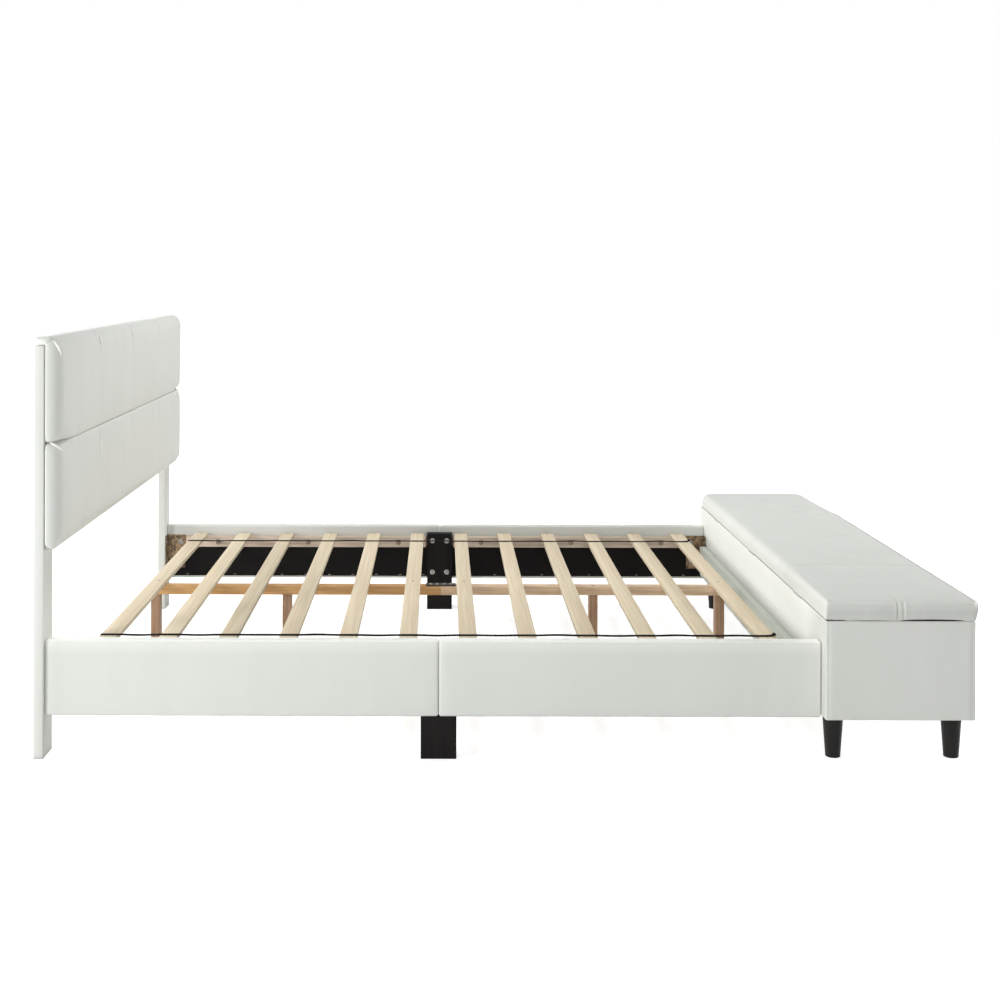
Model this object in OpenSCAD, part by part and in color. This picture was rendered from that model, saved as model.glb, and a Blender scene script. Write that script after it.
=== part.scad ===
// Upholstered platform bed whose footboard is a blanket chest with a hinged, padded lid.
// Millimetres, +Z up. The headboard is at -X and the chest at +X. The origin is on the floor,
// under the centre of the whole bed. "Right" is -Y and "left" is +Y, as for someone lying in it.

/* [Bed plan] */
// Length of a side rail, from the headboard posts to the chest
rail_l = 2040; // [1960:1:2120]
// Gap between the ends of the slats and the side rails
slat_end_gap = 13; // [11:1:18]
// Distance of the joint in each side rail from its head end
rail_joint = 1035; // [1025:1:1041]
// Height of the top of the ledgers, on which the slats lie
deck_z = 271; // [264:1:276]

/* [Upholstery] */
// Thickness of the padded cover over the boards
cover_t = 3; // [2.8:0.1:4]
// Rounding of the edges of a covered board
cover_r = 9; // [5:0.5:9.5]
// Half the width of a sewn channel in a cushion
seam_half_w = 9; // [6:0.5:12]

/* [Side rails] */
// Thickness of a covered side rail
rail_t = 35; // [30:1:40]
// Height of a covered side rail
rail_h = 200; // [185:1:215]
// Height of the side rails above the floor
rail_z = 110; // [100:1:120]
// Width of the cover's lower edge that is turned onto the inner face
lip_h = 8; // [5:1:12]
// Thickness of a ledger, measured from the rail's board
ledger_t = 30; // [26:1:34]
// Height of a ledger
ledger_h = 38; // [30:1:42]
// Distance from a rail's outer end to its ledger
ledger_end = 78; // [74:1:100]
// Gap between the ledgers and the middle legs
ledger_gap = 5; // [3:1:10]
// Distance from the rail joint to the first ledger bolt on each side
ledger_bolt_first = 156; // [140:1:170]
// Spacing of the bolts along a ledger
ledger_bolt_pitch = 340; // [320:1:350]

/* [Middle legs] */
// Width of a middle leg, along the rail
mid_leg_w = 94; // [80:1:100]
// Thickness of the part of a middle leg that stands inside the rail
mid_plate_t = 30; // [26:1:34]
// Height of the top of a middle leg
mid_leg_top = 286; // [280:1:300]
// Spacing of a middle leg's bolts along the rail
mid_bolt_span = 54; // [44:1:60]
// Height of a middle leg's lower bolts
mid_bolt_low = 141; // [136:1:150]
// Height of a middle leg's upper bolts
mid_bolt_high = 259; // [245:1:262]
// Chamfer on the edges of a middle leg
mid_chamfer = 2; // [1:0.5:4]

/* [Corner brackets] */
// Length of a bracket along the rail
bracket_l = 68; // [62:1:72]
// Width of a bracket's flange on the post or the chest
bracket_flange = 36; // [32:1:38]
// Height of a bracket
bracket_h = 124; // [118:1:130]
// Height of the top of a bracket
bracket_top = 274; // [268:1:280]
// Thickness of the bracket steel
bracket_t = 2.5; // [2:0.1:3]
// Distance of the bracket's rail bolts from the end of the rail
bracket_bolt_x = 52; // [46:1:54]
// Distance of the flange's bolts from the rail's inner face
bracket_bolt_y = 20; // [17:1:23]
// Distance of a bracket's upper bolt below its top
bracket_bolt_drop = 26; // [20:1:34]
// Height between the two bolts of a bracket's leaf
bracket_bolt_span = 64; // [50:1:74]

/* [Bolts] */
// Diameter of the bolts in the rails, brackets and legs
bolt_d = 8; // [6:0.5:9]
// Diameter of a flanged bolt head
bolt_head_d = 19; // [15:1:22]
// Height of a bolt head
bolt_head_h = 4; // [3:0.5:5]
// Depth to which a bolt enters the board behind
bolt_bite = 18; // [12:1:20]
// How far a bolt ends short of the far face of its last board
bolt_short = 2; // [1.5:0.5:4]
// Gap round a bolt in its hole
bolt_gap = 0.2; // [0.1:0.05:0.4]

/* [Slats] */
// Number of slats
slat_n = 12; // [10:1:12]
// Width of a slat
slat_w = 48; // [40:1:52]
// Thickness of a slat
slat_t = 13; // [10:1:16]
// Length of a slat
slat_l = 1524; // [1370:1:1700]
// Distance from the rail's head end to the centre of the first slat
slat_first = 134; // [128:1:137]
// Spacing of the slats
slat_pitch = 163.4; // [163:0.1:163.8]
// Width of the webbing straps across the slats
strap_w = 22; // [15:1:30]
// Thickness of the webbing
strap_t = 1.2; // [0.8:0.1:2]
// Distance of the right strap's middle from the slats' right ends
right_strap_in = 98; // [60:1:160]
// Distance of the left strap's middle from the slats' left ends
left_strap_in = 154; // [60:1:200]

/* [Centre beam] */
// Width of the centre beam
beam_w = 35; // [30:1:45]
// Height of the centre beam
beam_h = 28; // [24:1:45]
// How far the beam stands off the bed's middle line
beam_y = -20; // [-40:1:40]
// Distance from the rail's head end to the beam
beam_head_gap = 114; // [100:1:120]
// Distance from the beam to the chest
beam_foot_gap = 94; // [85:1:100]
// Distance of the beam's own joint from the rail's head end
beam_joint = 1040; // [1035:1:1042]
// Thickness of a beam leg along the beam
beam_leg_l = 27; // [22:1:35]
// Width of a beam leg across the beam
beam_leg_w = 40; // [35:1:50]
// Distance from the beam's head end to the centre of the second leg
inner_leg_head = 434; // [425:1:445]
// Distance from the beam's foot end to the centre of the third leg
inner_leg_foot = 418; // [410:1:425]
// Length of the splice plate over the beam's joint
splice_l = 96; // [80:1:96]
// Thickness of the splice plate
splice_t = 2.5; // [2:0.5:4]
// Distance between the splice bolts of the two beam halves
splice_bolt_span = 64; // [50:1:70]
// Diameter of the beam's bolts
beam_bolt_d = 6; // [5:0.5:7]
// Diameter of the beam bolts' heads
beam_bolt_head_d = 12; // [10:1:14]
// Height of the beam bolts' heads
beam_bolt_head_h = 3; // [2:0.5:4]
// Length of the bolts between the beam and its legs
leg_bolt_l = 54; // [45:1:80]

/* [Headboard] */
// Thickness of a covered headboard post
post_t = 28; // [25:1:32]
// Width of a covered headboard post
post_w = 84; // [78:1:90]
// How far a post stands out past the side rail
post_out = 9; // [5:1:12]
// Height of the posts
post_h = 1083; // [1070:1:1100]
// Height of the covered rail on top of the posts
top_rail_h = 22; // [20:1:30]
// Rounding of the top rail's edges
top_rail_r = 9; // [4:0.5:10]
// Height of the underside of the lower pad
pad_z = 552; // [540:1:565]
// Height of the lower pad
lower_pad_h = 274; // [266:1:280]
// Thickness of the pads at their edges
pad_t = 44; // [38:1:50]
// Rounding of the pads' edges
pad_r = 28; // [16:1:30]
// Rounding of the pads' edges at the back
pad_back_r = 4; // [2:0.5:6]
// How far the ends of the pads bulge
pad_bulge = 0.5; // [0.2:0.1:0.5]
// Rise of the pads' faces towards their middle
pad_crown = 3; // [1:0.5:6]
// Depth of the sewn lines in the pads
pad_seam_depth = 1.6; // [0.5:0.1:3]
// Thickness of the boards in the back of the pads
pad_board_t = 12; // [9:1:15]
// Distance from the edge of a pad to its board
pad_board_in = 14; // [12:1:20]
// Height of the wooden rails between the posts
back_rail_h = 60; // [40:1:80]
// Thickness of the cloth over the headboard's back
back_cloth_t = 2; // [1:0.5:3]
// Distance of a pad's bolts from the upper and lower edge of its board
pad_bolt_in = 53; // [30:1:60]

/* [Chest] */
// Depth of the chest, along the bed
chest_d = 391; // [360:1:420]
// How far the chest stands out past the side rails
chest_out = 37; // [28:1:50]
// Height of the chest's underside
chest_z = 115; // [105:1:120]
// Height of the chest's rim
chest_top = 374; // [365:1:390]
// Thickness of the chest's side boards
chest_board_t = 16; // [15:0.5:19]
// Thickness of the chest's floor board
chest_floor_t = 12; // [9:1:16]
// Thickness of the cloth lining
lining_t = 2; // [1:0.5:3]
// Diameter of a chest foot at the top
foot_top_d = 55; // [45:1:60]
// Diameter of a chest foot at the floor
foot_floor_d = 39; // [30:1:44]
// Distance of a foot's centre from the chest's long faces
foot_in_x = 39; // [35:1:50]
// Distance of a foot's centre from the chest's ends
foot_in_y = 70; // [50:1:90]
// Thickness of the covered cleat on the chest's bed side
cleat_t = 24; // [18:1:30]
// Height of the cleat
cleat_h = 109; // [90:1:115]
// Height of the cleat's underside
cleat_z = 133; // [125:1:140]
// Gap between the cleat's ends and the brackets
cleat_gap = 4; // [3:1:10]
// Rounding of the cleat's edges
cleat_r = 5; // [3:0.5:8]

/* [Lid] */
// Height of the lid's cushion at its seams, without the crown
lid_h = 52; // [46:1:60]
// Gap between the closed lid and the rim
lid_gap = 1; // [0.6:0.1:1.4]
// Rounding of the cushion's upper edges
lid_r = 14; // [10:1:18]
// How far the cushion bulges past the chest on the foot side
lid_bulge = 7; // [3:0.5:9]
// How far the cushion bulges past the chest's ends
lid_end_bulge = 3; // [1:0.5:5]
// Rise of the cushion towards its middle
lid_crown = 3; // [1:0.5:6]
// Depth of the sewn lines in the cushion
lid_seam_depth = 3; // [1:0.5:4]
// Thickness of the lid's board
lid_board_t = 12; // [9:1:16]
// Distance from the cushion's edge to the lid's board
lid_board_in = 6; // [5.5:0.5:9]
// Width of the cover that is turned under the lid's board
lid_turn = 30; // [25:1:45]

/* [Hinges] */
// Number of hinges
hinge_n = 3; // [2:1:4]
// Spacing of the hinges along the chest
hinge_pitch = 560; // [400:1:600]
// Length of a hinge
hinge_l = 70; // [55:1:90]
// Distance of the hinge pins inside the chest's bed-side face
hinge_in = 4; // [3.6:0.1:4.4]
// Radius of the hinge knuckles
knuckle_r = 3; // [2.8:0.1:3]
// Radius of the hinge pins
pin_r = 1.5; // [1.3:0.1:1.6]
// Gap round a hinge pin
pin_gap = 0.05; // [0.03:0.01:0.1]
// Gap between neighbouring knuckles
knuckle_gap = 0.3; // [0.2:0.1:0.5]
// Gap between a knuckle and the other leaf
knuckle_room = 0.7; // [0.5:0.1:0.9]
// Gap round a hinge in its mortise
mortise_gap = 1; // [0.5:0.1:1.5]
// Width of a hinge leaf from the pin
leaf_w = 14; // [12:0.5:14.5]
// Thickness of a hinge leaf
leaf_t = 1.5; // [1.2:0.1:1.6]

/* [Hidden] */

$fn = 48;
right = -1;
left = 1;
through = 1;            // how far a cut runs past the surface that it opens

pu_white = [0.90, 0.91, 0.89];
pine = [0.90, 0.82, 0.69];
beam_wood = [0.78, 0.62, 0.44];
leg_wood = [0.72, 0.55, 0.45];
board_wood = [0.76, 0.63, 0.46];
felt_black = [0.10, 0.09, 0.09];
paint_black = [0.13, 0.12, 0.11];
lining_grey = [0.24, 0.24, 0.25];
zinc_yellow = [0.66, 0.56, 0.34];
zinc_pale = [0.76, 0.74, 0.70];
bolt_dark = [0.22, 0.18, 0.16];

// Lengthwise places, from the headboard's back to the lid's bulge
bed_l = post_t + rail_l + chest_d + lid_bulge;
head_x = -bed_l / 2;
post_x = head_x + post_t;
joint_x = post_x + rail_joint;
chest_x = post_x + rail_l;
foot_x = chest_x + chest_d;

// The side rails, seen on the right side: y grows towards the bed's middle
bed_w = slat_l + 2 * (slat_end_gap + rail_t);
rail_y = -bed_w / 2;
core_y = rail_y + cover_t;
window_y = rail_y + rail_t - cover_t;
inner_y = rail_y + rail_t;
ledger_y = window_y + ledger_t;
rail_top = rail_z + rail_h;
ledger_z = deck_z - ledger_h;
felt_z = rail_z + lip_h;
plate_y = inner_y + mid_plate_t;
ledger_joint = mid_leg_w / 2 + ledger_gap;

// The headboard
post_y = rail_y - post_out;
post_inner_y = post_y + post_w;
post_mid_y = post_y + post_w / 2;
pad_w = -2 * post_y;
upper_pad_z = pad_z + lower_pad_h;
upper_pad_h = post_h + top_rail_h - upper_pad_z;
mid_rail_z = upper_pad_z - back_rail_h / 2;

// The slats and the beam
slat_x = [for (i = [0:slat_n - 1]) post_x + slat_first + i * slat_pitch];
slat_top = deck_z + slat_t;
right_strap_y = right_strap_in - slat_l / 2;
left_strap_y = slat_l / 2 - left_strap_in;
beam_x0 = post_x + beam_head_gap;
beam_x1 = chest_x - beam_foot_gap;
beam_joint_x = post_x + beam_joint;
beam_z = deck_z - beam_h;
beam_leg_x = [beam_x0 + beam_leg_l / 2, beam_x0 + inner_leg_head,
              beam_x1 - inner_leg_foot, beam_x1 - beam_leg_l / 2];

// The chest: its boards stand on the floor board, inside the cover
chest_l = bed_w + 2 * chest_out;
box_x0 = chest_x + cover_t;
box_x1 = foot_x - cover_t;
box_y = chest_l / 2 - cover_t;
box_z = chest_z + cover_t;
box_top = chest_top - cover_t;
board_z = box_z + chest_floor_t;
room_x0 = box_x0 + chest_board_t;
room_x1 = box_x1 - chest_board_t;
room_y = box_y - chest_board_t;
chest_feet = [for (x = [chest_x + foot_in_x, foot_x - foot_in_x], s = [right, left])
              [x, s * (chest_l / 2 - foot_in_y)]];
cleat_y = -inner_y - bracket_flange - cleat_gap;

// The lid and its hinges: the pins lie in the middle of the gap under the lid
lid_z = chest_top + lid_gap;
lid_board_z = lid_z + cover_t;
axis_x = chest_x + hinge_in;
axis_z = chest_top + lid_gap / 2;
hinge_y = [for (i = [0:hinge_n - 1]) (i - (hinge_n - 1) / 2) * hinge_pitch];
knuckles = 5;
knuckle_l = hinge_l / knuckles;
knuckle_reach = knuckle_r + knuckle_room;
seam_quarters = [-1 / 4, 0, 1 / 4];

// ---- General shapes ----

// Mirrors what is drawn for the right side onto the side asked for
module on_side(side) {
    mirror([0, side == left ? 1 : 0, 0]) children();
}

// A block between two opposite corners
module span(low, high) {
    translate(low) cube(high - low);
}

module rounded_rectangle(w, h, r) {
    translate([r, 0]) square([w - 2 * r, h]);
    translate([0, r]) square([w, h - 2 * r]);
    for (x = [r, w - r], y = [r, h - r]) translate([x, y]) circle(r);
}

// A block between two corners with every edge rounded, as a padded cover leaves it
module soft_block(low, high, r) {
    size = high - low;
    translate(low) intersection() {
        linear_extrude(size.z) rounded_rectangle(size.x, size.y, r);
        translate([0, size.y, 0]) rotate([90, 0, 0])
            linear_extrude(size.y) rounded_rectangle(size.x, size.z, r);
        rotate([90, 0, 90]) linear_extrude(size.x) rounded_rectangle(size.y, size.z, r);
    }
}

// A bolt that points along +Z, with the underside of its head at z = 0 and a hexagon socket
module bolt(d, shank, head_d, head_h) {
    difference() {
        union() {
            cylinder(d = d, h = shank);
            translate([0, 0, -head_h * 0.6]) cylinder(d = head_d, h = head_h * 0.6);
            translate([0, 0, -head_h])
                cylinder(d1 = head_d * 0.7, d2 = head_d, h = head_h * 0.4);
        }
        translate([0, 0, -head_h - through])
            cylinder(d = head_d * 0.34, h = head_h * 0.6 + through, $fn = 6);
    }
}

module hole(d, depth) {
    translate([0, 0, -through]) cylinder(d = d + 2 * bolt_gap, h = depth + through);
}

// Turns +Z to point outwards through the right rail, or along +X or -X
module to_rail() { rotate([90, 0, 0]) children(); }
module to_foot() { rotate([0, 90, 0]) children(); }
module to_head() { rotate([0, -90, 0]) children(); }

// ---- Cushions ----

// Sample places across a cushion: close together on the rounded edges and at the seams
function edge_places(half, r, n) = [for (k = [0:n - 1]) -half + r - r * cos(90 * k / n)];
function gap_places(a, b, n) = [for (k = [1:n]) a + (b - a) * k / (n + 1)];
function stops(half, r, seams, s) =
    concat([-half + r], [for (c = seams, d = [-s, 0, s]) c + d], [half - r]);
function is_seam_step(a, b, s) = b - a < 1.5 * s;
function flat_places(st, s, n) =
    [for (i = [0:len(st) - 2]) each concat([st[i]],
        is_seam_step(st[i], st[i + 1], s) ? [] : gap_places(st[i], st[i + 1], n))];
function places(half, r, seams, s, n_edge, n_gap) =
    let (st = stops(half, r, seams, s), low = edge_places(half, r, n_edge))
    concat(low, flat_places(st, s, n_gap), [half - r],
        [for (k = [len(low) - 1:-1:0]) -low[k]]);

// How far a place lies in the rounded edge: 0 on the flat part, 1 at the outline
function edge_share(x, half, r) = max(0, (abs(x) - half + r) / r);
function moved(x, share, half, r) = share > 0 ? sign(x) * (half - r + r * share) : x;
function rise(t) = 1 - pow(abs(t), 3);
function groove(x, seams, depth, s) =
    depth * max([0, for (c = seams) exp(-pow((x - c) / s, 2))]);

// Point of the crowned face over the sample place (u, v)
function face_point(u, v, half, h, r, crown, seams_u, seams_v, depth, s) =
    let (
        a = edge_share(u, half[0], r), b = edge_share(v, half[1], r),
        a2 = a * sqrt(1 - b * b / 2), b2 = b * sqrt(1 - a * a / 2),
        drop = r - r * sqrt(max(0, 1 - a2 * a2 - b2 * b2)),
        puff = crown * rise(u / half[0]) * rise(v / half[1]),
        sewn = max(groove(u, seams_u, depth, s), groove(v, seams_v, depth, s))
               * (1 - max(a, b))
    )
    [moved(u, a2, half[0], r), moved(v, b2, half[1], r), h - drop + puff - sewn];

// Cushion on the XY plane: crowned face with sewn channels, sides that bulge by
// [end, -v side, +v side] in their middle, and edges drawn in by low_r at the base
module cushion(size, r, low_r, crown, seams_u, seams_v, depth, s, bulge, n_gap) {
    half = [size[0] / 2, size[1] / 2];
    h = size[2];
    n_edge = 4;
    us = places(half[0], r, seams_u, s, n_edge, n_gap);
    vs = places(half[1], r, seams_v, s, n_edge, 2);
    nu = len(us);
    nv = len(vs);
    face = [for (v = vs, u = us)
        face_point(u, v, half, h, r, crown, seams_u, seams_v, depth, s)];
    // Indices round the outline of the face, anticlockwise from above
    rim = concat(
        [for (i = [0:nu - 2]) i],
        [for (j = [0:nv - 2]) j * nu + nu - 1],
        [for (i = [nu - 1:-1:1]) (nv - 1) * nu + i],
        [for (j = [nv - 1:-1:1]) j * nu]);
    n = len(rim);
    wall = h - r - low_r;
    // Side rings from the face down: [height, outward share of the bulge, inset]
    rings = concat(
        [for (t = [0.75, 0.5, 0.25, 0]) [low_r + wall * t, sin(180 * t), 0]],
        [for (a = [30, 60, 90]) [low_r * (1 - sin(a)), 0, low_r * (1 - cos(a))]]);
    sides = [for (ring = rings, k = rim) let (
        p = face[k],
        out_u = bulge[0] * ring[1] - ring[2],
        out_v = (p.y < 0 ? bulge[1] : bulge[2]) * ring[1] - ring[2])
        [p.x * (1 + out_u / half[0]), p.y * (1 + out_v / half[1]), ring[0]]];
    first = nu * nv;
    function on_ring(ring, k) = ring < 0 ? rim[k % n] : first + ring * n + k % n;
    face_tris = [for (j = [0:nv - 2], i = [0:nu - 2]) let (k = j * nu + i)
        each [[k, k + nu, k + 1], [k + 1, k + nu, k + nu + 1]]];
    side_tris = [for (ring = [-1:len(rings) - 2], k = [0:n - 1])
        each [[on_ring(ring, k), on_ring(ring, k + 1), on_ring(ring + 1, k)],
              [on_ring(ring, k + 1), on_ring(ring + 1, k + 1), on_ring(ring + 1, k)]]];
    last = len(rings) - 1;
    base_tris = [for (k = [1:n - 2]) [on_ring(last, 0), on_ring(last, k), on_ring(last, k + 1)]];
    polyhedron(concat(face, sides), concat(face_tris, side_tris, base_tris));
}

// ---- Headboard ----

module pad_bolt_places(side) {
    drop = pad_board_in + pad_bolt_in;
    on_side(side) for (z = [pad_z + drop, upper_pad_z - drop,
                            upper_pad_z + drop, upper_pad_z + upper_pad_h - drop])
        translate([head_x + cover_t, post_mid_y, z]) to_foot() children();
}

module post(side) {
    color(board_wood) difference() {
        on_side(side) span([head_x + cover_t, post_y + cover_t, 0],
                           [post_x - cover_t, post_inner_y - cover_t, post_h - cover_t]);
        pad_bolt_places(side) hole(bolt_d, post_t);
        bracket_bolt_places(side) hole(bolt_d, bracket_t + cover_t + bolt_bite + through);
    }
}

module post_cover(side) {
    color(pu_white) difference() {
        on_side(side) intersection() {
            soft_block([head_x, post_y, -cover_r], [post_x, post_inner_y, post_h], cover_r);
            span([head_x, post_y, 0], [post_x, post_inner_y, post_h]);
        }
        on_side(side) span([head_x + cover_t, post_y + cover_t, -through],
                           [post_x - cover_t, post_inner_y - cover_t, post_h - cover_t]);
        pad_bolt_places(side) hole(bolt_d, post_t);
        pad_bolt_places(side) translate([0, 0, -cover_t]) hole(bolt_head_d, cover_t);
        bracket_bolt_places(side) hole(bolt_d, bracket_t + cover_t + bolt_bite);
    }
}

module headboard_top_rail() {
    color(pu_white)
        soft_block([head_x, post_y, post_h], [post_x, -post_y, post_h + top_rail_h], top_rail_r);
}

module back_rail(z) {
    color(board_wood) span([head_x + back_cloth_t, post_inner_y, z],
                           [post_x, -post_inner_y, z + back_rail_h]);
}

module headboard_back_cloth() {
    color(pu_white) span([head_x, post_inner_y, pad_z],
                         [head_x + back_cloth_t, -post_inner_y, post_h]);
}

module pad_board(z, h) {
    color(board_wood) difference() {
        span([post_x, post_y + pad_board_in, z + pad_board_in],
             [post_x + pad_board_t, -post_y - pad_board_in, z + h - pad_board_in]);
        for (side = [right, left])
            pad_bolt_places(side) hole(bolt_d, post_t + pad_board_t);
    }
}

// A pad lies on its back against the posts, with its board let into the back
module pad(z, h) {
    color(pu_white) difference() {
        translate([post_x, 0, z + h / 2]) rotate([90, 0, 90])
            cushion([pad_w, h, pad_t], pad_r, pad_back_r, pad_crown,
                    [for (q = seam_quarters) q * pad_w], [], pad_seam_depth, seam_half_w,
                    [pad_bulge, 0, 0], 3);
        span([post_x - through, post_y + pad_board_in, z + pad_board_in],
             [post_x + pad_board_t, -post_y - pad_board_in, z + h - pad_board_in]);
    }
}

module headboard_bolts() {
    color(zinc_pale) for (side = [right, left])
        pad_bolt_places(side)
            bolt(bolt_d, post_t - cover_t + pad_board_t - bolt_short, bolt_head_d, cover_t);
}

// ---- Side rails ----

// Bolts through the ledgers into the rails, pointing outwards
module ledger_bolt_places(side, way) {
    on_side(side) for (k = [0:2])
        translate([joint_x + way * (ledger_bolt_first + k * ledger_bolt_pitch), ledger_y,
                   deck_z - ledger_h / 2]) to_rail() children();
}

module mid_bolt_places(side) {
    on_side(side) for (dx = [-mid_bolt_span / 2, mid_bolt_span / 2])
        for (z = [mid_bolt_low, mid_bolt_high])
            translate([joint_x + dx, plate_y, z]) to_rail() children();
}

// The two heights of the bolts in each leaf of a bracket
bracket_bolt_z = [bracket_top - bracket_bolt_drop,
                  bracket_top - bracket_bolt_drop - bracket_bolt_span];

// Bolts of the bracket leaves that lie on the rails
module rail_bracket_bolt_places(side) {
    on_side(side) for (x = [post_x + bracket_bolt_x, chest_x - bracket_bolt_x], z = bracket_bolt_z)
        translate([x, inner_y + bracket_t, z]) to_rail() children();
}

// Bolts of the flanges on the headboard posts
module bracket_bolt_places(side) {
    on_side(side) for (z = bracket_bolt_z)
        translate([post_x + bracket_t, inner_y + bracket_bolt_y, z]) to_head() children();
}

// Bolts of the flanges on the chest
module chest_bracket_bolt_places(side) {
    on_side(side) for (z = bracket_bolt_z)
        translate([chest_x - bracket_t, inner_y + bracket_bolt_y, z]) to_foot() children();
}

module rail_bolt_holes(side) {
    for (way = [-1, 1])
        ledger_bolt_places(side, way) hole(bolt_d, ledger_t + bolt_bite + through);
    mid_bolt_places(side) hole(bolt_d, mid_plate_t + cover_t + bolt_bite + through);
    rail_bracket_bolt_places(side) hole(bolt_d, bracket_t + cover_t + bolt_bite + through);
}

module rail(side, x0, x1) {
    color(board_wood) difference() {
        on_side(side) span([x0 + cover_t, core_y, rail_z + cover_t],
                           [x1 - cover_t, window_y, rail_top - cover_t]);
        rail_bolt_holes(side);
    }
}

// The cover wraps the rail's board and leaves the inner face open between its two edges
module rail_cover(side, x0, x1) {
    color(pu_white) on_side(side) difference() {
        soft_block([x0, rail_y, rail_z], [x1, inner_y, rail_top], cover_r);
        span([x0 + cover_t, core_y, rail_z + cover_t], [x1 - cover_t, window_y, rail_top - cover_t]);
        span([x0 - through, window_y, felt_z], [x1 + through, inner_y + through, deck_z]);
    }
}

module rail_felt() {
    color(felt_black) for (side = [right, left]) difference() {
        on_side(side) for (x = [[post_x, joint_x], [joint_x, chest_x]])
            span([x[0] + cover_t, window_y, felt_z], [x[1] - cover_t, inner_y, ledger_z]);
        rail_bolt_holes(side);
    }
}

module ledger(side, x0, x1, way) {
    color(pine) difference() {
        on_side(side) span([x0, window_y, ledger_z], [x1, ledger_y, deck_z]);
        ledger_bolt_places(side, way) hole(bolt_d, ledger_t);
    }
}

module ledger_bolts() {
    color(bolt_dark) for (side = [right, left], way = [-1, 1])
        ledger_bolt_places(side, way)
            bolt(bolt_d, ledger_t + bolt_bite, bolt_head_d, bolt_head_h);
}

// A middle leg carries both halves of the rail on its step and rises inside them
module mid_leg(side) {
    c = mid_chamfer;
    d = rail_t + mid_plate_t;
    profile = [[0, 0], [d, 0], [d, mid_leg_top - c], [d - c, mid_leg_top],
               [rail_t + c, mid_leg_top], [rail_t, mid_leg_top - c], [rail_t, rail_z],
               [c, rail_z], [0, rail_z - c]];
    color(paint_black) difference() {
        on_side(side) translate([joint_x - mid_leg_w / 2, rail_y, 0])
            rotate([90, 0, 90]) linear_extrude(mid_leg_w) polygon(profile);
        mid_bolt_places(side) hole(bolt_d, mid_plate_t);
    }
}

module bracket(side, end_x, way) {
    z0 = bracket_top - bracket_h;
    on_side(side) {
        translate([end_x, inner_y, z0]) mirror([way < 0 ? 1 : 0, 0, 0]) {
            cube([bracket_l, bracket_t, bracket_h]);
            cube([bracket_t, bracket_flange, bracket_h]);
        }
    }
}

module corner_brackets() {
    color(zinc_yellow) for (side = [right, left]) difference() {
        union() {
            bracket(side, post_x, 1);
            bracket(side, chest_x, -1);
        }
        rail_bracket_bolt_places(side) hole(bolt_d, bracket_t + through);
        bracket_bolt_places(side) hole(bolt_d, bracket_t + through);
        chest_bracket_bolt_places(side) hole(bolt_d, bracket_t + through);
    }
}

module frame_bolts() {
    color(zinc_pale) for (side = [right, left]) {
        mid_bolt_places(side)
            bolt(bolt_d, mid_plate_t + cover_t + bolt_bite, bolt_head_d, bolt_head_h);
        rail_bracket_bolt_places(side)
            bolt(bolt_d, bracket_t + cover_t + bolt_bite, bolt_head_d, bolt_head_h);
        bracket_bolt_places(side)
            bolt(bolt_d, bracket_t + cover_t + bolt_bite, bolt_head_d, bolt_head_h);
        chest_bracket_bolt_places(side)
            bolt(bolt_d, bracket_t + cover_t + chest_board_t - bolt_short,
                 bolt_head_d, bolt_head_h);
    }
}

// ---- Slats and straps ----

module slats() {
    color(pine) for (x = slat_x)
        span([x - slat_w / 2, -slat_l / 2, deck_z], [x + slat_w / 2, slat_l / 2, slat_top]);
}

module strap(y) {
    color(felt_black)
        span([slat_x[0] - slat_w / 2, y - strap_w / 2, slat_top],
             [slat_x[slat_n - 1] + slat_w / 2, y + strap_w / 2, slat_top + strap_t]);
}

// ---- Centre beam ----

module splice_bolt_places() {
    for (s = [-1, 1], in = [0, 1]) translate([
        beam_joint_x + s * (splice_bolt_span / 2 - in * (splice_bolt_span / 2 - beam_bolt_head_d)),
        beam_y, deck_z + splice_t]) rotate([180, 0, 0]) children();
}

module leg_bolt_places() {
    for (x = beam_leg_x) translate([x, beam_y, deck_z]) rotate([180, 0, 0]) children();
}

module beam_half(x0, x1) {
    color(beam_wood) difference() {
        span([x0, beam_y - beam_w / 2, beam_z], [x1, beam_y + beam_w / 2, deck_z]);
        splice_bolt_places() hole(beam_bolt_d, splice_t + beam_h);
        leg_bolt_places() hole(beam_bolt_d, beam_h + through);
        leg_bolt_places() translate([0, 0, -through])
            hole(beam_bolt_head_d, beam_bolt_head_h + through);
    }
}

module beam_leg(x) {
    color(leg_wood) difference() {
        span([x - beam_leg_l / 2, beam_y - beam_leg_w / 2, 0],
             [x + beam_leg_l / 2, beam_y + beam_leg_w / 2, beam_z]);
        leg_bolt_places() hole(beam_bolt_d, 2 * beam_bolt_head_h + leg_bolt_l);
    }
}

module splice_plate() {
    color(paint_black) difference() {
        span([beam_joint_x - splice_l / 2, beam_y - beam_w / 2, deck_z],
             [beam_joint_x + splice_l / 2, beam_y + beam_w / 2, deck_z + splice_t]);
        splice_bolt_places() hole(beam_bolt_d, splice_t + through);
    }
}

// The leg bolts are sunk level with the beam, since slats lie over two of them
module beam_bolts() {
    color(bolt_dark) {
        splice_bolt_places() bolt(beam_bolt_d, splice_t + beam_h - beam_bolt_head_h,
                                  beam_bolt_head_d, beam_bolt_head_h);
        leg_bolt_places() translate([0, 0, beam_bolt_head_h])
            bolt(beam_bolt_d, leg_bolt_l, beam_bolt_head_d, beam_bolt_head_h);
    }
}

// ---- Chest ----

module foot_cleat() {
    color(pu_white) soft_block([chest_x - cleat_t, -cleat_y, cleat_z],
                               [chest_x, cleat_y, cleat_z + cleat_h], cleat_r);
}

module chest_panel(low, high) {
    color(board_wood) difference() {
        span(low, high);
        for (side = [right, left])
            chest_bracket_bolt_places(side)
                hole(bolt_d, bracket_t + cover_t + chest_board_t - bolt_short / 2);
    }
}

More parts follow.
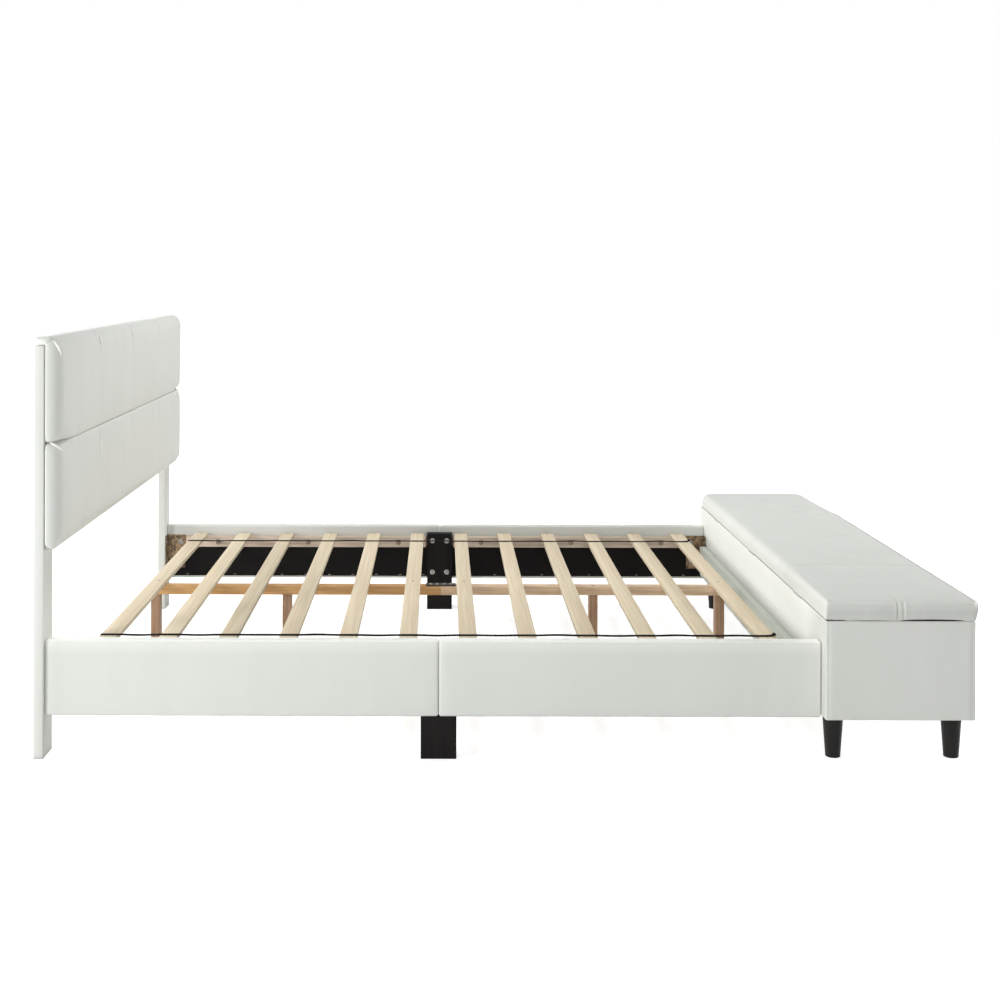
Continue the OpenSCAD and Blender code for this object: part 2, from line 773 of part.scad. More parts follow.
module chest_head_panel() {
    chest_panel([box_x0, -box_y, board_z], [room_x0, box_y, box_top]);
}

module chest_foot_panel() {
    chest_panel([room_x1, -box_y, board_z], [box_x1, box_y, box_top]);
}

module chest_end(side) {
    color(board_wood) on_side(side)
        span([room_x0, -box_y, board_z], [room_x1, -room_y, box_top]);
}

module chest_floor() {
    color(board_wood) span([box_x0, -box_y, box_z], [box_x1, box_y, board_z]);
}

// Lets the knuckles and leaves into the cover, from the rim down to the board
module hinge_mortises(z0, z1) {
    for (y = hinge_y) span([chest_x - 2 * lid_bulge, y - hinge_l / 2 - mortise_gap, z0],
                           [axis_x + leaf_w + mortise_gap, y + hinge_l / 2 + mortise_gap, z1]);
}

module chest_cover() {
    color(pu_white) difference() {
        soft_block([chest_x, -chest_l / 2, chest_z], [foot_x, chest_l / 2, chest_top], cover_r);
        span([box_x0, -box_y, box_z], [box_x1, box_y, box_top]);
        span([room_x0, -room_y, box_top - through], [room_x1, room_y, chest_top + through]);
        hinge_mortises(box_top, chest_top + through);
        for (side = [right, left]) chest_bracket_bolt_places(side) hole(bolt_d, 2 * cover_t);
    }
}

module chest_lining() {
    color(lining_grey) difference() {
        span([room_x0, -room_y, board_z], [room_x1, room_y, box_top]);
        span([room_x0 + lining_t, -room_y + lining_t, board_z + lining_t],
             [room_x1 - lining_t, room_y - lining_t, box_top + through]);
    }
}

module chest_foot(i) {
    color(paint_black) translate([chest_feet[i].x, chest_feet[i].y, 0])
        cylinder(d1 = foot_floor_d, d2 = foot_top_d, h = chest_z);
}

// ---- Hinges ----

// One leaf with its knuckles: parity 0 has the first, third and fifth, parity 1 the others
module hinge_leaf(parity, z0, z1) {
    for (y = hinge_y) translate([axis_x, y - hinge_l / 2, 0]) difference() {
        union() {
            translate([0, 0, z0]) cube([leaf_w, hinge_l, z1 - z0]);
            for (k = [parity:2:knuckles - 1]) translate([0, k * knuckle_l, axis_z])
                rotate([-90, 0, 0]) cylinder(r = knuckle_r, h = knuckle_l);
        }
        for (k = [1 - parity:2:knuckles - 1])
            translate([-knuckle_reach, k * knuckle_l - knuckle_gap, z0 - 2 * knuckle_r])
                cube([2 * knuckle_reach, knuckle_l + 2 * knuckle_gap, 4 * knuckle_r]);
        translate([0, -through, axis_z]) rotate([-90, 0, 0])
            cylinder(r = pin_r + pin_gap, h = hinge_l + 2 * through);
    }
}

module hinge_chest_leaves() {
    color(zinc_pale) hinge_leaf(0, box_top, box_top + leaf_t);
}

module hinge_lid_leaves() {
    color(zinc_pale) hinge_leaf(1, lid_board_z - leaf_t, lid_board_z);
}

module hinge_pins() {
    color(zinc_pale) for (y = hinge_y) translate([axis_x, y - hinge_l / 2, axis_z])
        rotate([-90, 0, 0]) cylinder(r = pin_r, h = hinge_l);
}

// ---- Lid ----

module lid_board() {
    color(board_wood)
        span([chest_x + lid_board_in, -chest_l / 2 + lid_board_in, lid_board_z],
             [foot_x - lid_board_in, chest_l / 2 - lid_board_in, lid_board_z + lid_board_t]);
}

module lid_cushion() {
    turn = lid_board_in + lid_turn;
    color(pu_white) difference() {
        translate([(chest_x + foot_x) / 2, 0, lid_z]) rotate([0, 0, 90])
            cushion([chest_l, chest_d, lid_h], lid_r, cover_r, lid_crown,
                    [for (q = seam_quarters) q * chest_l], [0], lid_seam_depth, seam_half_w,
                    [lid_end_bulge, lid_bulge, 0], 3);
        span([chest_x + lid_board_in, -chest_l / 2 + lid_board_in, lid_board_z],
             [foot_x - lid_board_in, chest_l / 2 - lid_board_in, lid_board_z + lid_board_t]);
        span([chest_x + turn, -chest_l / 2 + turn, lid_z - through],
             [foot_x - turn, chest_l / 2 - turn, lid_board_z + through]);
        hinge_mortises(lid_z - through, lid_board_z);
    }
}

module lid_lining() {
    turn = lid_board_in + lid_turn;
    color(lining_grey) span([chest_x + turn, -chest_l / 2 + turn, lid_board_z - lining_t],
                            [foot_x - turn, chest_l / 2 - turn, lid_board_z]);
}

post(left);  // left_post
post(right);  // right_post
post_cover(left);  // left_post_cover
post_cover(right);  // right_post_cover
headboard_top_rail();
back_rail(mid_rail_z);  // headboard_mid_rail
back_rail(pad_z);  // headboard_lower_rail
headboard_back_cloth();
pad_board(upper_pad_z, upper_pad_h);  // upper_pad_board
pad_board(pad_z, lower_pad_h);  // lower_pad_board
pad(upper_pad_z, upper_pad_h);  // upper_pad
pad(pad_z, lower_pad_h);  // lower_pad
headboard_bolts();
rail(left, post_x, joint_x);  // left_head_rail
rail(left, joint_x, chest_x);  // left_foot_rail
rail(right, post_x, joint_x);  // right_head_rail
rail(right, joint_x, chest_x);  // right_foot_rail
rail_cover(left, post_x, joint_x);  // left_head_rail_cover
rail_cover(left, joint_x, chest_x);  // left_foot_rail_cover
rail_cover(right, post_x, joint_x);  // right_head_rail_cover
rail_cover(right, joint_x, chest_x);  // right_foot_rail_cover
rail_felt();
ledger(left, post_x + ledger_end, joint_x - ledger_joint, -1);  // left_head_ledger
ledger(left, joint_x + ledger_joint, chest_x - ledger_end, 1);  // left_foot_ledger
ledger(right, post_x + ledger_end, joint_x - ledger_joint, -1);  // right_head_ledger
ledger(right, joint_x + ledger_joint, chest_x - ledger_end, 1);  // right_foot_ledger
ledger_bolts();
mid_leg(left);  // left_mid_leg
mid_leg(right);  // right_mid_leg
corner_brackets();
frame_bolts();
slats();
strap(left_strap_y);  // left_strap
strap(right_strap_y);  // right_strap
beam_half(beam_x0, beam_joint_x);  // beam_head_half
beam_half(beam_joint_x, beam_x1);  // beam_foot_half
splice_plate();
beam_bolts();
beam_leg(beam_leg_x[0]);  // beam_leg_1
beam_leg(beam_leg_x[1]);  // beam_leg_2
beam_leg(beam_leg_x[2]);  // beam_leg_3
beam_leg(beam_leg_x[3]);  // beam_leg_4
foot_cleat();
chest_head_panel();
chest_foot_panel();
chest_end(left);  // chest_left_end
chest_end(right);  // chest_right_end
chest_floor();
chest_cover();
chest_lining();
chest_foot(0);  // chest_foot_1
chest_foot(1);  // chest_foot_2
chest_foot(2);  // chest_foot_3
chest_foot(3);  // chest_foot_4
hinge_chest_leaves();
hinge_pins();
lid_board();
lid_cushion();
lid_lining();
hinge_lid_leaves();
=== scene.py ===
# Upholstered bed with a blanket chest as its footboard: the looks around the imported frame.
# Metres, +X towards the chest, -Y towards the camera, +Z up.
import math
import random

import bmesh
import bpy
from mathutils import Matrix, Vector, noise


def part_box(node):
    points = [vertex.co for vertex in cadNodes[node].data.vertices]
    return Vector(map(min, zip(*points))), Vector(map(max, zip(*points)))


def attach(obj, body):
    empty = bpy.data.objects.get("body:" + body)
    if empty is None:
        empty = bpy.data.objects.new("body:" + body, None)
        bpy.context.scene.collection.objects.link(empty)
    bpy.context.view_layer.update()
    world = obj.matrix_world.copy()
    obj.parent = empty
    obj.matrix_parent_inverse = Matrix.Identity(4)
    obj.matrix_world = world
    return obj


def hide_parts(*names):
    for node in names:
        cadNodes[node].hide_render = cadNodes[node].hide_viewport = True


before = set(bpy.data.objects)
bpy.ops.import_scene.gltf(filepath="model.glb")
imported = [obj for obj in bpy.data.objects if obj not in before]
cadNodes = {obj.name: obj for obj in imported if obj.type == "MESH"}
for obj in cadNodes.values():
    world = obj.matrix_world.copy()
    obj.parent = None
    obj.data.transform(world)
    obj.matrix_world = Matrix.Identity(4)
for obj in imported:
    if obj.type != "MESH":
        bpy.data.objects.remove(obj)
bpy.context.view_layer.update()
scene = bpy.context.scene
scene.view_settings.view_transform = "Standard"
print("frame loaded:", len(cadNodes), "nodes")

# ---- Camera, floor and light ----

cameraSettings = {
    "place": (-0.1652, -4.3469, 1.2875),
    "lens": 48.515,
    "sensor": 36.0,
    "shift": (0.05846, -0.23155),
    "roll": -0.0025,
}
floorSettings = {"size": 40.0, "colour": (0.80, 0.80, 0.80), "roughness": 0.9,
                 "reach": (1.6, 4.5), "glow": (0.68, 1.0)}
worldSettings = {"colour": (1.0, 1.0, 1.0), "light": 0.075}
lampSettings = {
    "frontLeft": {"place": (-4.0, -3.2, 1.6), "aim": (0.0, -0.3, 0.3), "size": 0.8, "power": 80},
    "front": {"place": (0.0, -6.0, 2.2), "aim": (0.0, 0.0, 0.3), "size": 3.0, "power": 101},
    "right": {"place": (4.5, 0.3, 1.6), "aim": (-1.2, 0.0, 0.8), "size": 1.6, "power": 103},
    "backLeft": {"place": (-4.0, 4.0, 2.2), "aim": (0.0, 0.0, 0.3), "size": 3.0, "power": 130},
    "leftLow": {"place": (-8.4, -1.5, 0.6), "aim": (1.0, -0.2, 0.3), "size": 1.9, "power": 345},
    "overBed": {"place": (-0.3, 0.65, 3.2), "aim": (0.4, 0.0, 0.2), "size": 0.8, "power": 39},
}


def makeCamera(settings):
    data = bpy.data.cameras.new("camera")
    data.lens = settings["lens"]
    data.sensor_width = settings["sensor"]
    data.shift_x, data.shift_y = settings["shift"]
    camera = bpy.data.objects.new("camera", data)
    camera.location = settings["place"]
    camera.rotation_euler = (math.radians(90), settings["roll"], 0)
    scene.collection.objects.link(camera)
    scene.camera = camera


def makeLamp(name, settings):
    data = bpy.data.lights.new(name, "AREA")
    data.shape = "DISK"
    data.size = settings["size"]
    data.energy = settings["power"]
    lamp = bpy.data.objects.new(name, data)
    lamp.location = settings["place"]
    way = Vector(settings["aim"]) - Vector(settings["place"])
    lamp.rotation_euler = way.to_track_quat("-Z", "Y").to_euler()
    scene.collection.objects.link(lamp)


# ---- Node helpers ----


def place(tree, kind, values=None, **settings):
    node = tree.nodes.new("ShaderNode" + kind)
    for name, value in settings.items():
        setattr(node, name, value)
    for name, value in (values or {}).items():
        node.inputs[name].default_value = value
    return node


def socketOf(sockets, label):
    return sockets[int(label) if label.isdigit() else label]


def wire(tree, nodes, *links):
    # A link reads "node.output > node.inlet", each socket by its name or its number
    for link in links:
        (source, output), (target, inlet) = (end.split(".") for end in link.split(" > "))
        tree.links.new(socketOf(nodes[source].outputs, output),
                       socketOf(nodes[target].inputs, inlet))


def newGroup(name, inlets, outlets, nodes, *links):
    tree = bpy.data.node_groups.new(name, "ShaderNodeTree")
    for label, kind, value in inlets:
        inlet = tree.interface.new_socket(label, in_out="INPUT", socket_type="NodeSocket" + kind)
        if value is not None:
            inlet.default_value = value
    for label, kind in outlets:
        tree.interface.new_socket(label, in_out="OUTPUT", socket_type="NodeSocket" + kind)
    made = {label: place(tree, kind, values, **settings)
            for label, (kind, values, settings) in nodes.items()}
    made["in"] = tree.nodes.new("NodeGroupInput")
    made["out"] = tree.nodes.new("NodeGroupOutput")
    wire(tree, made, *links)
    return tree


def calc(operation, values=None, kind="Math"):
    return kind, values or {}, {"operation": operation}


def noiseField(**values):
    return "TexNoise", {label.capitalize(): value for label, value in values.items()}, {}


def rgba(colour):
    return (*colour, 1.0)


colourMix = ("Mix", {}, {"data_type": "RGBA"})
groups = {
    # Pebbled grain of coated cloth: rounded cells broken up by noise
    "fineGrain": newGroup(
        "fineGrain",
        [("Vector", "Vector", None), ("Scale", "Float", 500.0)],
        [("Height", "Float"), ("Creases", "Float")],
        {"warp": noiseField(detail=3.0, roughness=0.6),
         "cells": ("TexVoronoi", {"Smoothness": 0.6}, {"feature": "SMOOTH_F1"}),
         "broad": calc("MULTIPLY", {1: 0.17}),
         "total": calc("MULTIPLY_ADD", {2: 0.6})},
        "in.Scale > broad.0", "in.Vector > warp.Vector", "broad.Value > warp.Scale",
        "in.Vector > cells.Vector", "in.Scale > cells.Scale", "cells.Distance > total.0",
        "warp.Fac > total.1", "total.Value > out.Height", "warp.Fac > out.Creases"),
    # Broad unevenness of a cover pulled over foam, longer along Z than across it
    "softWaves": newGroup(
        "softWaves",
        [("Vector", "Vector", None), ("Scale", "Float", 6.0),
         ("Stretch", "Vector", (1.0, 1.0, 0.3))],
        [("Height", "Float"), ("Tone", "Float")],
        {"squeeze": calc("MULTIPLY", kind="VectorMath"),
         "slow": noiseField(detail=2.0, roughness=0.45),
         "quick": noiseField(detail=2.0, roughness=0.5),
         "finer": calc("MULTIPLY", {1: 4.7}),
         "mixed": calc("MULTIPLY_ADD", {1: 0.3})},
        "in.Vector > squeeze.0", "in.Stretch > squeeze.1", "squeeze.Vector > slow.Vector",
        "squeeze.Vector > quick.Vector", "in.Scale > slow.Scale", "in.Scale > finer.0",
        "finer.Value > quick.Scale", "quick.Fac > mixed.0", "slow.Fac > mixed.2",
        "mixed.Value > out.Height", "slow.Fac > out.Tone"),
    # Growth rings cut lengthwise, with fine pores; Along stretches the figure down the board
    "woodFigure": newGroup(
        "woodFigure",
        [("Vector", "Vector", None), ("Along", "Vector", (14.0, 1.0, 14.0)),
         ("Pale", "Color", (1.0, 1.0, 1.0, 1.0)), ("Dark", "Color", (0.5, 0.4, 0.3, 1.0))],
        [("Color", "Color"), ("Height", "Float"), ("Figure", "Float")],
        {"own": ("Attribute", {}, {"attribute_name": "boardTone"}),
         "shift": calc("MULTIPLY", {1: (7.0, 3.0, 5.0)}, "VectorMath"),
         "moved": calc("ADD", kind="VectorMath"),
         "squeeze": calc("MULTIPLY", kind="VectorMath"),
         "rings": noiseField(scale=1.6, detail=3.0, distortion=0.15),
         "bands": calc("MULTIPLY", {1: 34.0}),
         "waves": calc("SINE"),
         "half": calc("MULTIPLY_ADD", {1: 0.5, 2: 0.5}),
         "pores": noiseField(scale=22.0, detail=4.0, roughness=0.7),
         "figure": calc("MULTIPLY"),
         "blend": colourMix,
         "tone": calc("MULTIPLY_ADD", {1: -0.14, 2: 1.0}),
         "shade": calc("SCALE", kind="VectorMath")},
        "own.Fac > shift.0", "in.Vector > moved.0", "shift.Vector > moved.1",
        "moved.Vector > squeeze.0", "in.Along > squeeze.1", "squeeze.Vector > rings.Vector",
        "squeeze.Vector > pores.Vector", "rings.Fac > bands.0", "bands.Value > waves.0",
        "waves.Value > half.0", "half.Value > figure.0", "pores.Fac > figure.1",
        "figure.Value > blend.Factor", "in.Pale > blend.6", "in.Dark > blend.7",
        "own.Fac > tone.0", "blend.2 > shade.0", "tone.Value > shade.Scale",
        "shade.Vector > out.Color", "pores.Fac > out.Height", "figure.Value > out.Figure"),
    # Crossing threads of webbing and lining cloth
    "clothWeave": newGroup(
        "clothWeave",
        [("Vector", "Vector", None), ("Threads", "Float", 900.0)],
        [("Height", "Float"), ("Fuzz", "Float")],
        {"grid": calc("SCALE", kind="VectorMath"), "split": ("SeparateXYZ", {}, {}),
         "fuzz": noiseField(scale=160.0, detail=5.0, roughness=0.7),
         "alongX": calc("SINE"), "alongY": calc("SINE"), "alongZ": calc("SINE"),
         "both": calc("MULTIPLY"), "total": calc("ADD")},
        "in.Vector > grid.0", "in.Threads > grid.Scale", "grid.Vector > split.Vector",
        "in.Vector > fuzz.Vector", "split.X > alongX.0", "split.Y > alongY.0",
        "split.Z > alongZ.0", "alongX.Value > both.0", "alongY.Value > both.1",
        "both.Value > total.0", "alongZ.Value > total.1", "total.Value > out.Height",
        "fuzz.Fac > out.Fuzz"),
    # Cloudy patches of plated or painted steel, and the colour between two tones
    "mottle": newGroup(
        "mottle",
        [("Vector", "Vector", None), ("Scale", "Float", 60.0),
         ("First", "Color", (0.5, 0.5, 0.5, 1.0)), ("Second", "Color", (0.3, 0.3, 0.3, 1.0))],
        [("Color", "Color"), ("Patches", "Float")],
        {"cloud": noiseField(detail=5.0, roughness=0.65),
         "ramp": ("MapRange", {1: 0.35, 2: 0.65}, {}), "blend": colourMix},
        "in.Vector > cloud.Vector", "in.Scale > cloud.Scale", "cloud.Fac > ramp.Value",
        "ramp.Result > blend.Factor", "in.First > blend.6", "in.Second > blend.7",
        "blend.2 > out.Color", "ramp.Result > out.Patches"),
}

# ---- Materials ----

bumpStrength = {"waves": 0.6, "grain": 0.5, "pits": 0.3}


def newMaterial(name, settings):
    made = bpy.data.materials.new(name)
    made.use_nodes = True
    tree = made.node_tree
    nodes = {"shader": tree.nodes["Principled BSDF"], "coordinates": place(tree, "TexCoord")}
    nodes["shader"].inputs["Specular IOR Level"].default_value = settings.get("specular", 0.5)
    return made, tree, nodes


def addGroup(tree, nodes, name, values):
    nodes[name] = place(tree, "Group", node_tree=groups[name])
    for label, value in values.items():
        nodes[name].inputs[label].default_value = value
    wire(tree, nodes, "coordinates.Object > " + name + ".Vector")


def addBump(tree, nodes, name, kind, height):
    nodes[name] = place(tree, "Bump", {"Strength": bumpStrength[kind], "Distance": height})


def addBlend(tree, nodes, settings):
    nodes["blend"] = place(tree, "Mix", data_type="RGBA")
    nodes["blend"].inputs[6].default_value = rgba(settings["shade"])
    nodes["blend"].inputs[7].default_value = rgba(settings["colour"])


def spreadRoughness(tree, nodes, settings, source):
    nodes["spread"] = place(tree, "MapRange", dict(zip((3, 4), settings["roughness"])))
    wire(tree, nodes, source + " > spread.Value", "spread.Result > shader.Roughness")


def coatedCloth(name, settings):
    made, tree, nodes = newMaterial(name, settings)
    addGroup(tree, nodes, "fineGrain", {"Scale": settings["grainScale"]})
    addGroup(tree, nodes, "softWaves", {"Scale": settings["waveScale"]})
    addBlend(tree, nodes, settings)
    # The colour is scaled by one minus the cover's painted light and shade attribute
    nodes["own"] = place(tree, "Attribute", attribute_name="coverPaintedLight")
    nodes["light"] = place(tree, "Math", {0: 1.0}, operation="SUBTRACT")
    nodes["toned"] = place(tree, "VectorMath", operation="SCALE")
    addBump(tree, nodes, "broad", "waves", settings["waveHeight"])
    addBump(tree, nodes, "fine", "grain", settings["grainHeight"])
    spreadRoughness(tree, nodes, settings, "fineGrain.Creases")
    wire(tree, nodes, "softWaves.Tone > blend.Factor", "own.Fac > light.1", "blend.2 > toned.0",
         "light.Value > toned.Scale", "toned.Vector > shader.Base Color",
         "softWaves.Height > broad.Height", "fineGrain.Height > fine.Height",
         "broad.Normal > fine.Normal", "fine.Normal > shader.Normal")
    return made


def timber(name, settings):
    made, tree, nodes = newMaterial(name, settings)
    addGroup(tree, nodes, "woodFigure", {
        "Along": settings["along"], "Pale": rgba(settings["pale"]), "Dark": rgba(settings["dark"]),
    })
    addBump(tree, nodes, "grain", "grain", settings["height"])
    spreadRoughness(tree, nodes, settings, "woodFigure.Figure")
    wire(tree, nodes, "woodFigure.Color > shader.Base Color", "woodFigure.Height > grain.Height",
         "grain.Normal > shader.Normal")
    return made


def darkCloth(name, settings):
    made, tree, nodes = newMaterial(name, settings)
    addGroup(tree, nodes, "clothWeave", {"Threads": settings["threads"]})
    addBlend(tree, nodes, settings)
    nodes["shader"].inputs["Roughness"].default_value = settings["roughness"]
    addBump(tree, nodes, "threads", "grain", settings["height"])
    addBump(tree, nodes, "fuzz", "grain", settings["height"])
    wire(tree, nodes, "clothWeave.Fuzz > blend.Factor", "blend.2 > shader.Base Color",
         "clothWeave.Height > threads.Height", "clothWeave.Fuzz > fuzz.Height",
         "threads.Normal > fuzz.Normal", "fuzz.Normal > shader.Normal")
    return made


def platedSteel(name, settings):
    made, tree, nodes = newMaterial(name, settings)
    addGroup(tree, nodes, "mottle", {
        "Scale": settings["scale"], "First": rgba(settings["first"]),
        "Second": rgba(settings["second"]),
    })
    nodes["shader"].inputs["Metallic"].default_value = settings["metallic"]
    addBump(tree, nodes, "pits", "pits", settings["height"])
    spreadRoughness(tree, nodes, settings, "mottle.Patches")
    wire(tree, nodes, "mottle.Color > shader.Base Color", "mottle.Patches > pits.Height",
         "pits.Normal > shader.Normal")
    return made


upholstery = {"colour": (0.80, 0.815, 0.775), "specular": 0.18, "grainScale": 620.0,
              "grainHeight": 0.0005, "waveScale": 5.0}
coatedCloths = {
    "whitePu": {**upholstery, "shade": (0.75, 0.765, 0.72), "roughness": (0.46, 0.66),
                "waveHeight": 0.006},
    # A darker copy of the white cover: painted shade on the foot cleat and the back cloth
    "shadedWhitePu": {**upholstery, "colour": (0.60, 0.63, 0.57), "shade": (0.55, 0.58, 0.52),
               "roughness": (0.50, 0.66), "waveHeight": 0.004},
    "whitePadPu": {**upholstery, "shade": (0.74, 0.755, 0.71), "roughness": (0.44, 0.64),
                   "grainScale": 480.0, "grainHeight": 0.0008, "waveScale": 9.0,
                   "waveHeight": 0.008},
}
sawnWood = {"roughness": (0.5, 0.65), "height": 0.0008, "specular": 0.15}
timbers = {
    "slatPine": {**sawnWood, "pale": (0.88, 0.765, 0.565), "dark": (0.74, 0.60, 0.41),
                 "along": (30.0, 0.5, 30.0), "height": 0.0006},
    "ledgerPine": {**sawnWood, "pale": (0.72, 0.60, 0.49), "dark": (0.52, 0.39, 0.31),
                   "along": (1.1, 26.0, 26.0), "height": 0.0006},
    "beamHeadTimber": {**sawnWood, "pale": (0.72, 0.43, 0.19), "dark": (0.46, 0.24, 0.10),
                       "along": (1.2, 24.0, 24.0)},
    "beamFootTimber": {**sawnWood, "pale": (0.80, 0.60, 0.41), "dark": (0.56, 0.38, 0.235),
                       "along": (1.2, 24.0, 24.0)},
    "legTimber": {**sawnWood, "pale": (0.44, 0.28, 0.18), "dark": (0.27, 0.15, 0.095),
                  "along": (24.0, 24.0, 1.2)},
    "boardTimber": {"pale": (0.60, 0.43, 0.26), "dark": (0.45, 0.30, 0.17),
                    "along": (3.0, 3.0, 3.0), "roughness": (0.6, 0.8), "height": 0.0008},
    "blackPaint": {"pale": (0.009, 0.0083, 0.0079), "dark": (0.017, 0.0147, 0.014),
                   "along": (20.0, 20.0, 1.2), "roughness": (0.40, 0.52), "height": 0.0004,
                   "specular": 0.16},
    "blackLegPaint": {"pale": (0.007, 0.006, 0.006), "dark": (0.014, 0.012, 0.011),
                      "along": (20.0, 20.0, 1.2), "roughness": (0.45, 0.6), "height": 0.0004,
                      "specular": 0.1},
}
wovenCloth = {"roughness": 0.85, "height": 0.0003}
darkCloths = {
    "blackFelt": {**wovenCloth, "colour": (0.008, 0.0072, 0.0072),
                  "shade": (0.0145, 0.013, 0.013), "threads": 2400.0, "specular": 0.1},
    "blackWebbing": {**wovenCloth, "colour": (0.004, 0.004, 0.004),
                     "shade": (0.009, 0.009, 0.009), "threads": 3600.0, "height": 0.0004,
                     "specular": 0.05},
    "greyLining": {**wovenCloth, "colour": (0.045, 0.045, 0.05), "shade": (0.07, 0.07, 0.075),
                   "threads": 2800.0},
}
platedSteels = {
    "yellowZinc": {"first": (0.38, 0.26, 0.14), "second": (0.035, 0.025, 0.022), "scale": 95.0,
                   "metallic": 0.55, "roughness": (0.35, 0.55), "height": 0.0003},
    "paleZinc": {"first": (0.62, 0.61, 0.57), "second": (0.50, 0.50, 0.48), "scale": 110.0,
                 "metallic": 0.9, "roughness": (0.25, 0.42), "height": 0.0003},
    "boltZinc": {"first": (0.42, 0.41, 0.38), "second": (0.14, 0.135, 0.125), "scale": 240.0,
                 "metallic": 0.8, "roughness": (0.3, 0.5), "height": 0.0003},
    "darkBolt": {"first": (0.40, 0.31, 0.23), "second": (0.06, 0.045, 0.035), "scale": 210.0,
                 "metallic": 0.6, "roughness": (0.35, 0.5), "height": 0.0003},
    "blackSteel": {"first": (0.010, 0.010, 0.010), "second": (0.022, 0.020, 0.019),
                   "scale": 80.0, "metallic": 0.0, "roughness": (0.4, 0.55), "height": 0.0003,
                   "specular": 0.08},
}
materials = {}
for table, maker in ((coatedCloths, coatedCloth), (timbers, timber), (darkCloths, darkCloth),
                     (platedSteels, platedSteel)):
    for name, settings in table.items():
        materials[name] = maker(name, settings)
print("materials made:", len(materials))

# ---- Stage ----



def seenDirectly(tree, nodes):
    # 1 for what the camera sees, straight or in metal or glass, and 0 for the light on the bed
    nodes["path"] = place(tree, "LightPath")
    nodes["straight"] = place(tree, "Math", operation="MAXIMUM")
    nodes["seen"] = place(tree, "Math", operation="MAXIMUM")
    wire(tree, nodes, "path.Is Camera Ray > straight.0", "path.Is Glossy Ray > straight.1",
         "straight.Value > seen.0", "path.Is Transmission Ray > seen.1")


def floorMaterial(settings):
    # White all over to the eye; away from the bed, where no shadow falls, the glow is full
    made, tree, nodes = newMaterial("floorPaint", settings)
    nodes["distance"] = place(tree, "VectorMath", operation="LENGTH")
    nodes["spread"] = place(tree, "MapRange", dict(enumerate(
        (*settings["reach"], *settings["glow"]), 1)))
    nodes["glow"] = place(tree, "Math", operation="MULTIPLY")
    seenDirectly(tree, nodes)
    wire(tree, nodes, "coordinates.Object > distance.0", "distance.Value > spread.Value",
         "spread.Result > glow.0", "seen.Value > glow.1", "glow.Value > shader.Emission Strength")
    shader = nodes["shader"]
    shader.inputs["Emission Color"].default_value = (1, 1, 1, 1)
    shader.inputs["Base Color"].default_value = rgba(settings["colour"])
    shader.inputs["Roughness"].default_value = settings["roughness"]
    return made


def newObject(bm, name):
    mesh = bpy.data.meshes.new(name)
    bm.to_mesh(mesh)
    bm.free()
    made = bpy.data.objects.new(name, mesh)
    scene.collection.objects.link(made)
    return made


def makeFloor(settings):
    bm = bmesh.new()
    bmesh.ops.create_grid(bm, x_segments=1, y_segments=1, size=settings["size"] / 2)
    floor = newObject(bm, "floor")
    floor.data.materials.append(floorMaterial(settings))


def makeWorld(settings):
    world = bpy.data.worlds.new("studio")
    world.use_nodes = True
    tree = world.node_tree
    nodes = {"back": tree.nodes["Background"],
             "strength": place(tree, "MapRange", {3: settings["light"], 4: 1.0})}
    nodes["back"].inputs["Color"].default_value = rgba(settings["colour"])
    seenDirectly(tree, nodes)
    wire(tree, nodes, "seen.Value > strength.Value", "strength.Result > back.Strength")
    scene.world = world


makeCamera(cameraSettings)
for lampName, lampChoice in lampSettings.items():
    makeLamp(lampName, lampChoice)
makeFloor(floorSettings)
makeWorld(worldSettings)
print("stage set")

# ---- Mesh helpers ----


def finishPiece(bm, name, body, material, replaces=(), sharp=None):
    piece = newObject(bm, name)
    piece.data.materials.append(materials[material])
    piece.data.shade_smooth()
    if sharp is not None:
        piece.data.set_sharp_from_angle(angle=math.radians(sharp))
    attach(piece, body)
    if replaces:
        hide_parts(*replaces)
    return piece


def paintLightOnCover(piece, rule):
    # Painted light and shade of each point of a cover, from its place and the way it faces; below
    # 0 is paler (painted light), above 0 darker (painted shade)
    tone = piece.data.attributes.new("coverPaintedLight", "FLOAT", "POINT")
    for vertex, spot in zip(piece.data.vertices, tone.data):
        spot.value = rule(vertex.co, vertex.normal)


def applyModifiers(piece):
    evaluated = piece.evaluated_get(bpy.context.evaluated_depsgraph_get())
    mesh = bpy.data.meshes.new_from_object(evaluated)
    old = piece.data
    piece.modifiers.clear()
    piece.data = mesh
    mesh.name = old.name
    bpy.data.meshes.remove(old)


def upToOne(value):
    return min(1.0, max(0.0, value))


def boxAround(points):
    return ([min(p[i] for p in points) for i in range(3)],
            [max(p[i] for p in points) for i in range(3)])


def axisWay(axis):
    return Vector((axis == 0, axis == 1, axis == 2))


def addBox(bm, low, high):
    low, high = Vector(low), Vector(high)
    made = bmesh.ops.create_cube(bm, size=1)["verts"]
    bmesh.ops.scale(bm, vec=high - low, verts=made)
    bmesh.ops.translate(bm, vec=(low + high) / 2, verts=made)
    return made


def cutAcross(bm, axis, places, **settings):
    normal = axisWay(axis)
    for spot in places:
        bmesh.ops.bisect_plane(bm, geom=bm.verts[:] + bm.edges[:] + bm.faces[:],
                               plane_co=normal * spot, plane_no=normal, dist=1e-7, **settings)


def evenPlaces(low, high, pitch):
    count = max(1, round((high - low) / pitch))
    return [low + (high - low) * i / count for i in range(1, count)]


def cutEvenly(bm, low, high, pitches):
    for axis, pitch in enumerate(pitches):
        cutAcross(bm, axis, evenPlaces(low[axis], high[axis], pitch))


def arcInsets(radius, steps):
    return [radius * (1 - math.cos(math.pi / 2 * i / steps)) for i in range(1, steps + 1)]


def rimPlaces(low, high, rim, steps=5):
    # Cuts that follow an arc of the rim's radius in from both faces
    insets = arcInsets(rim, steps)
    return [low + d for d in insets] + [high - d for d in insets]


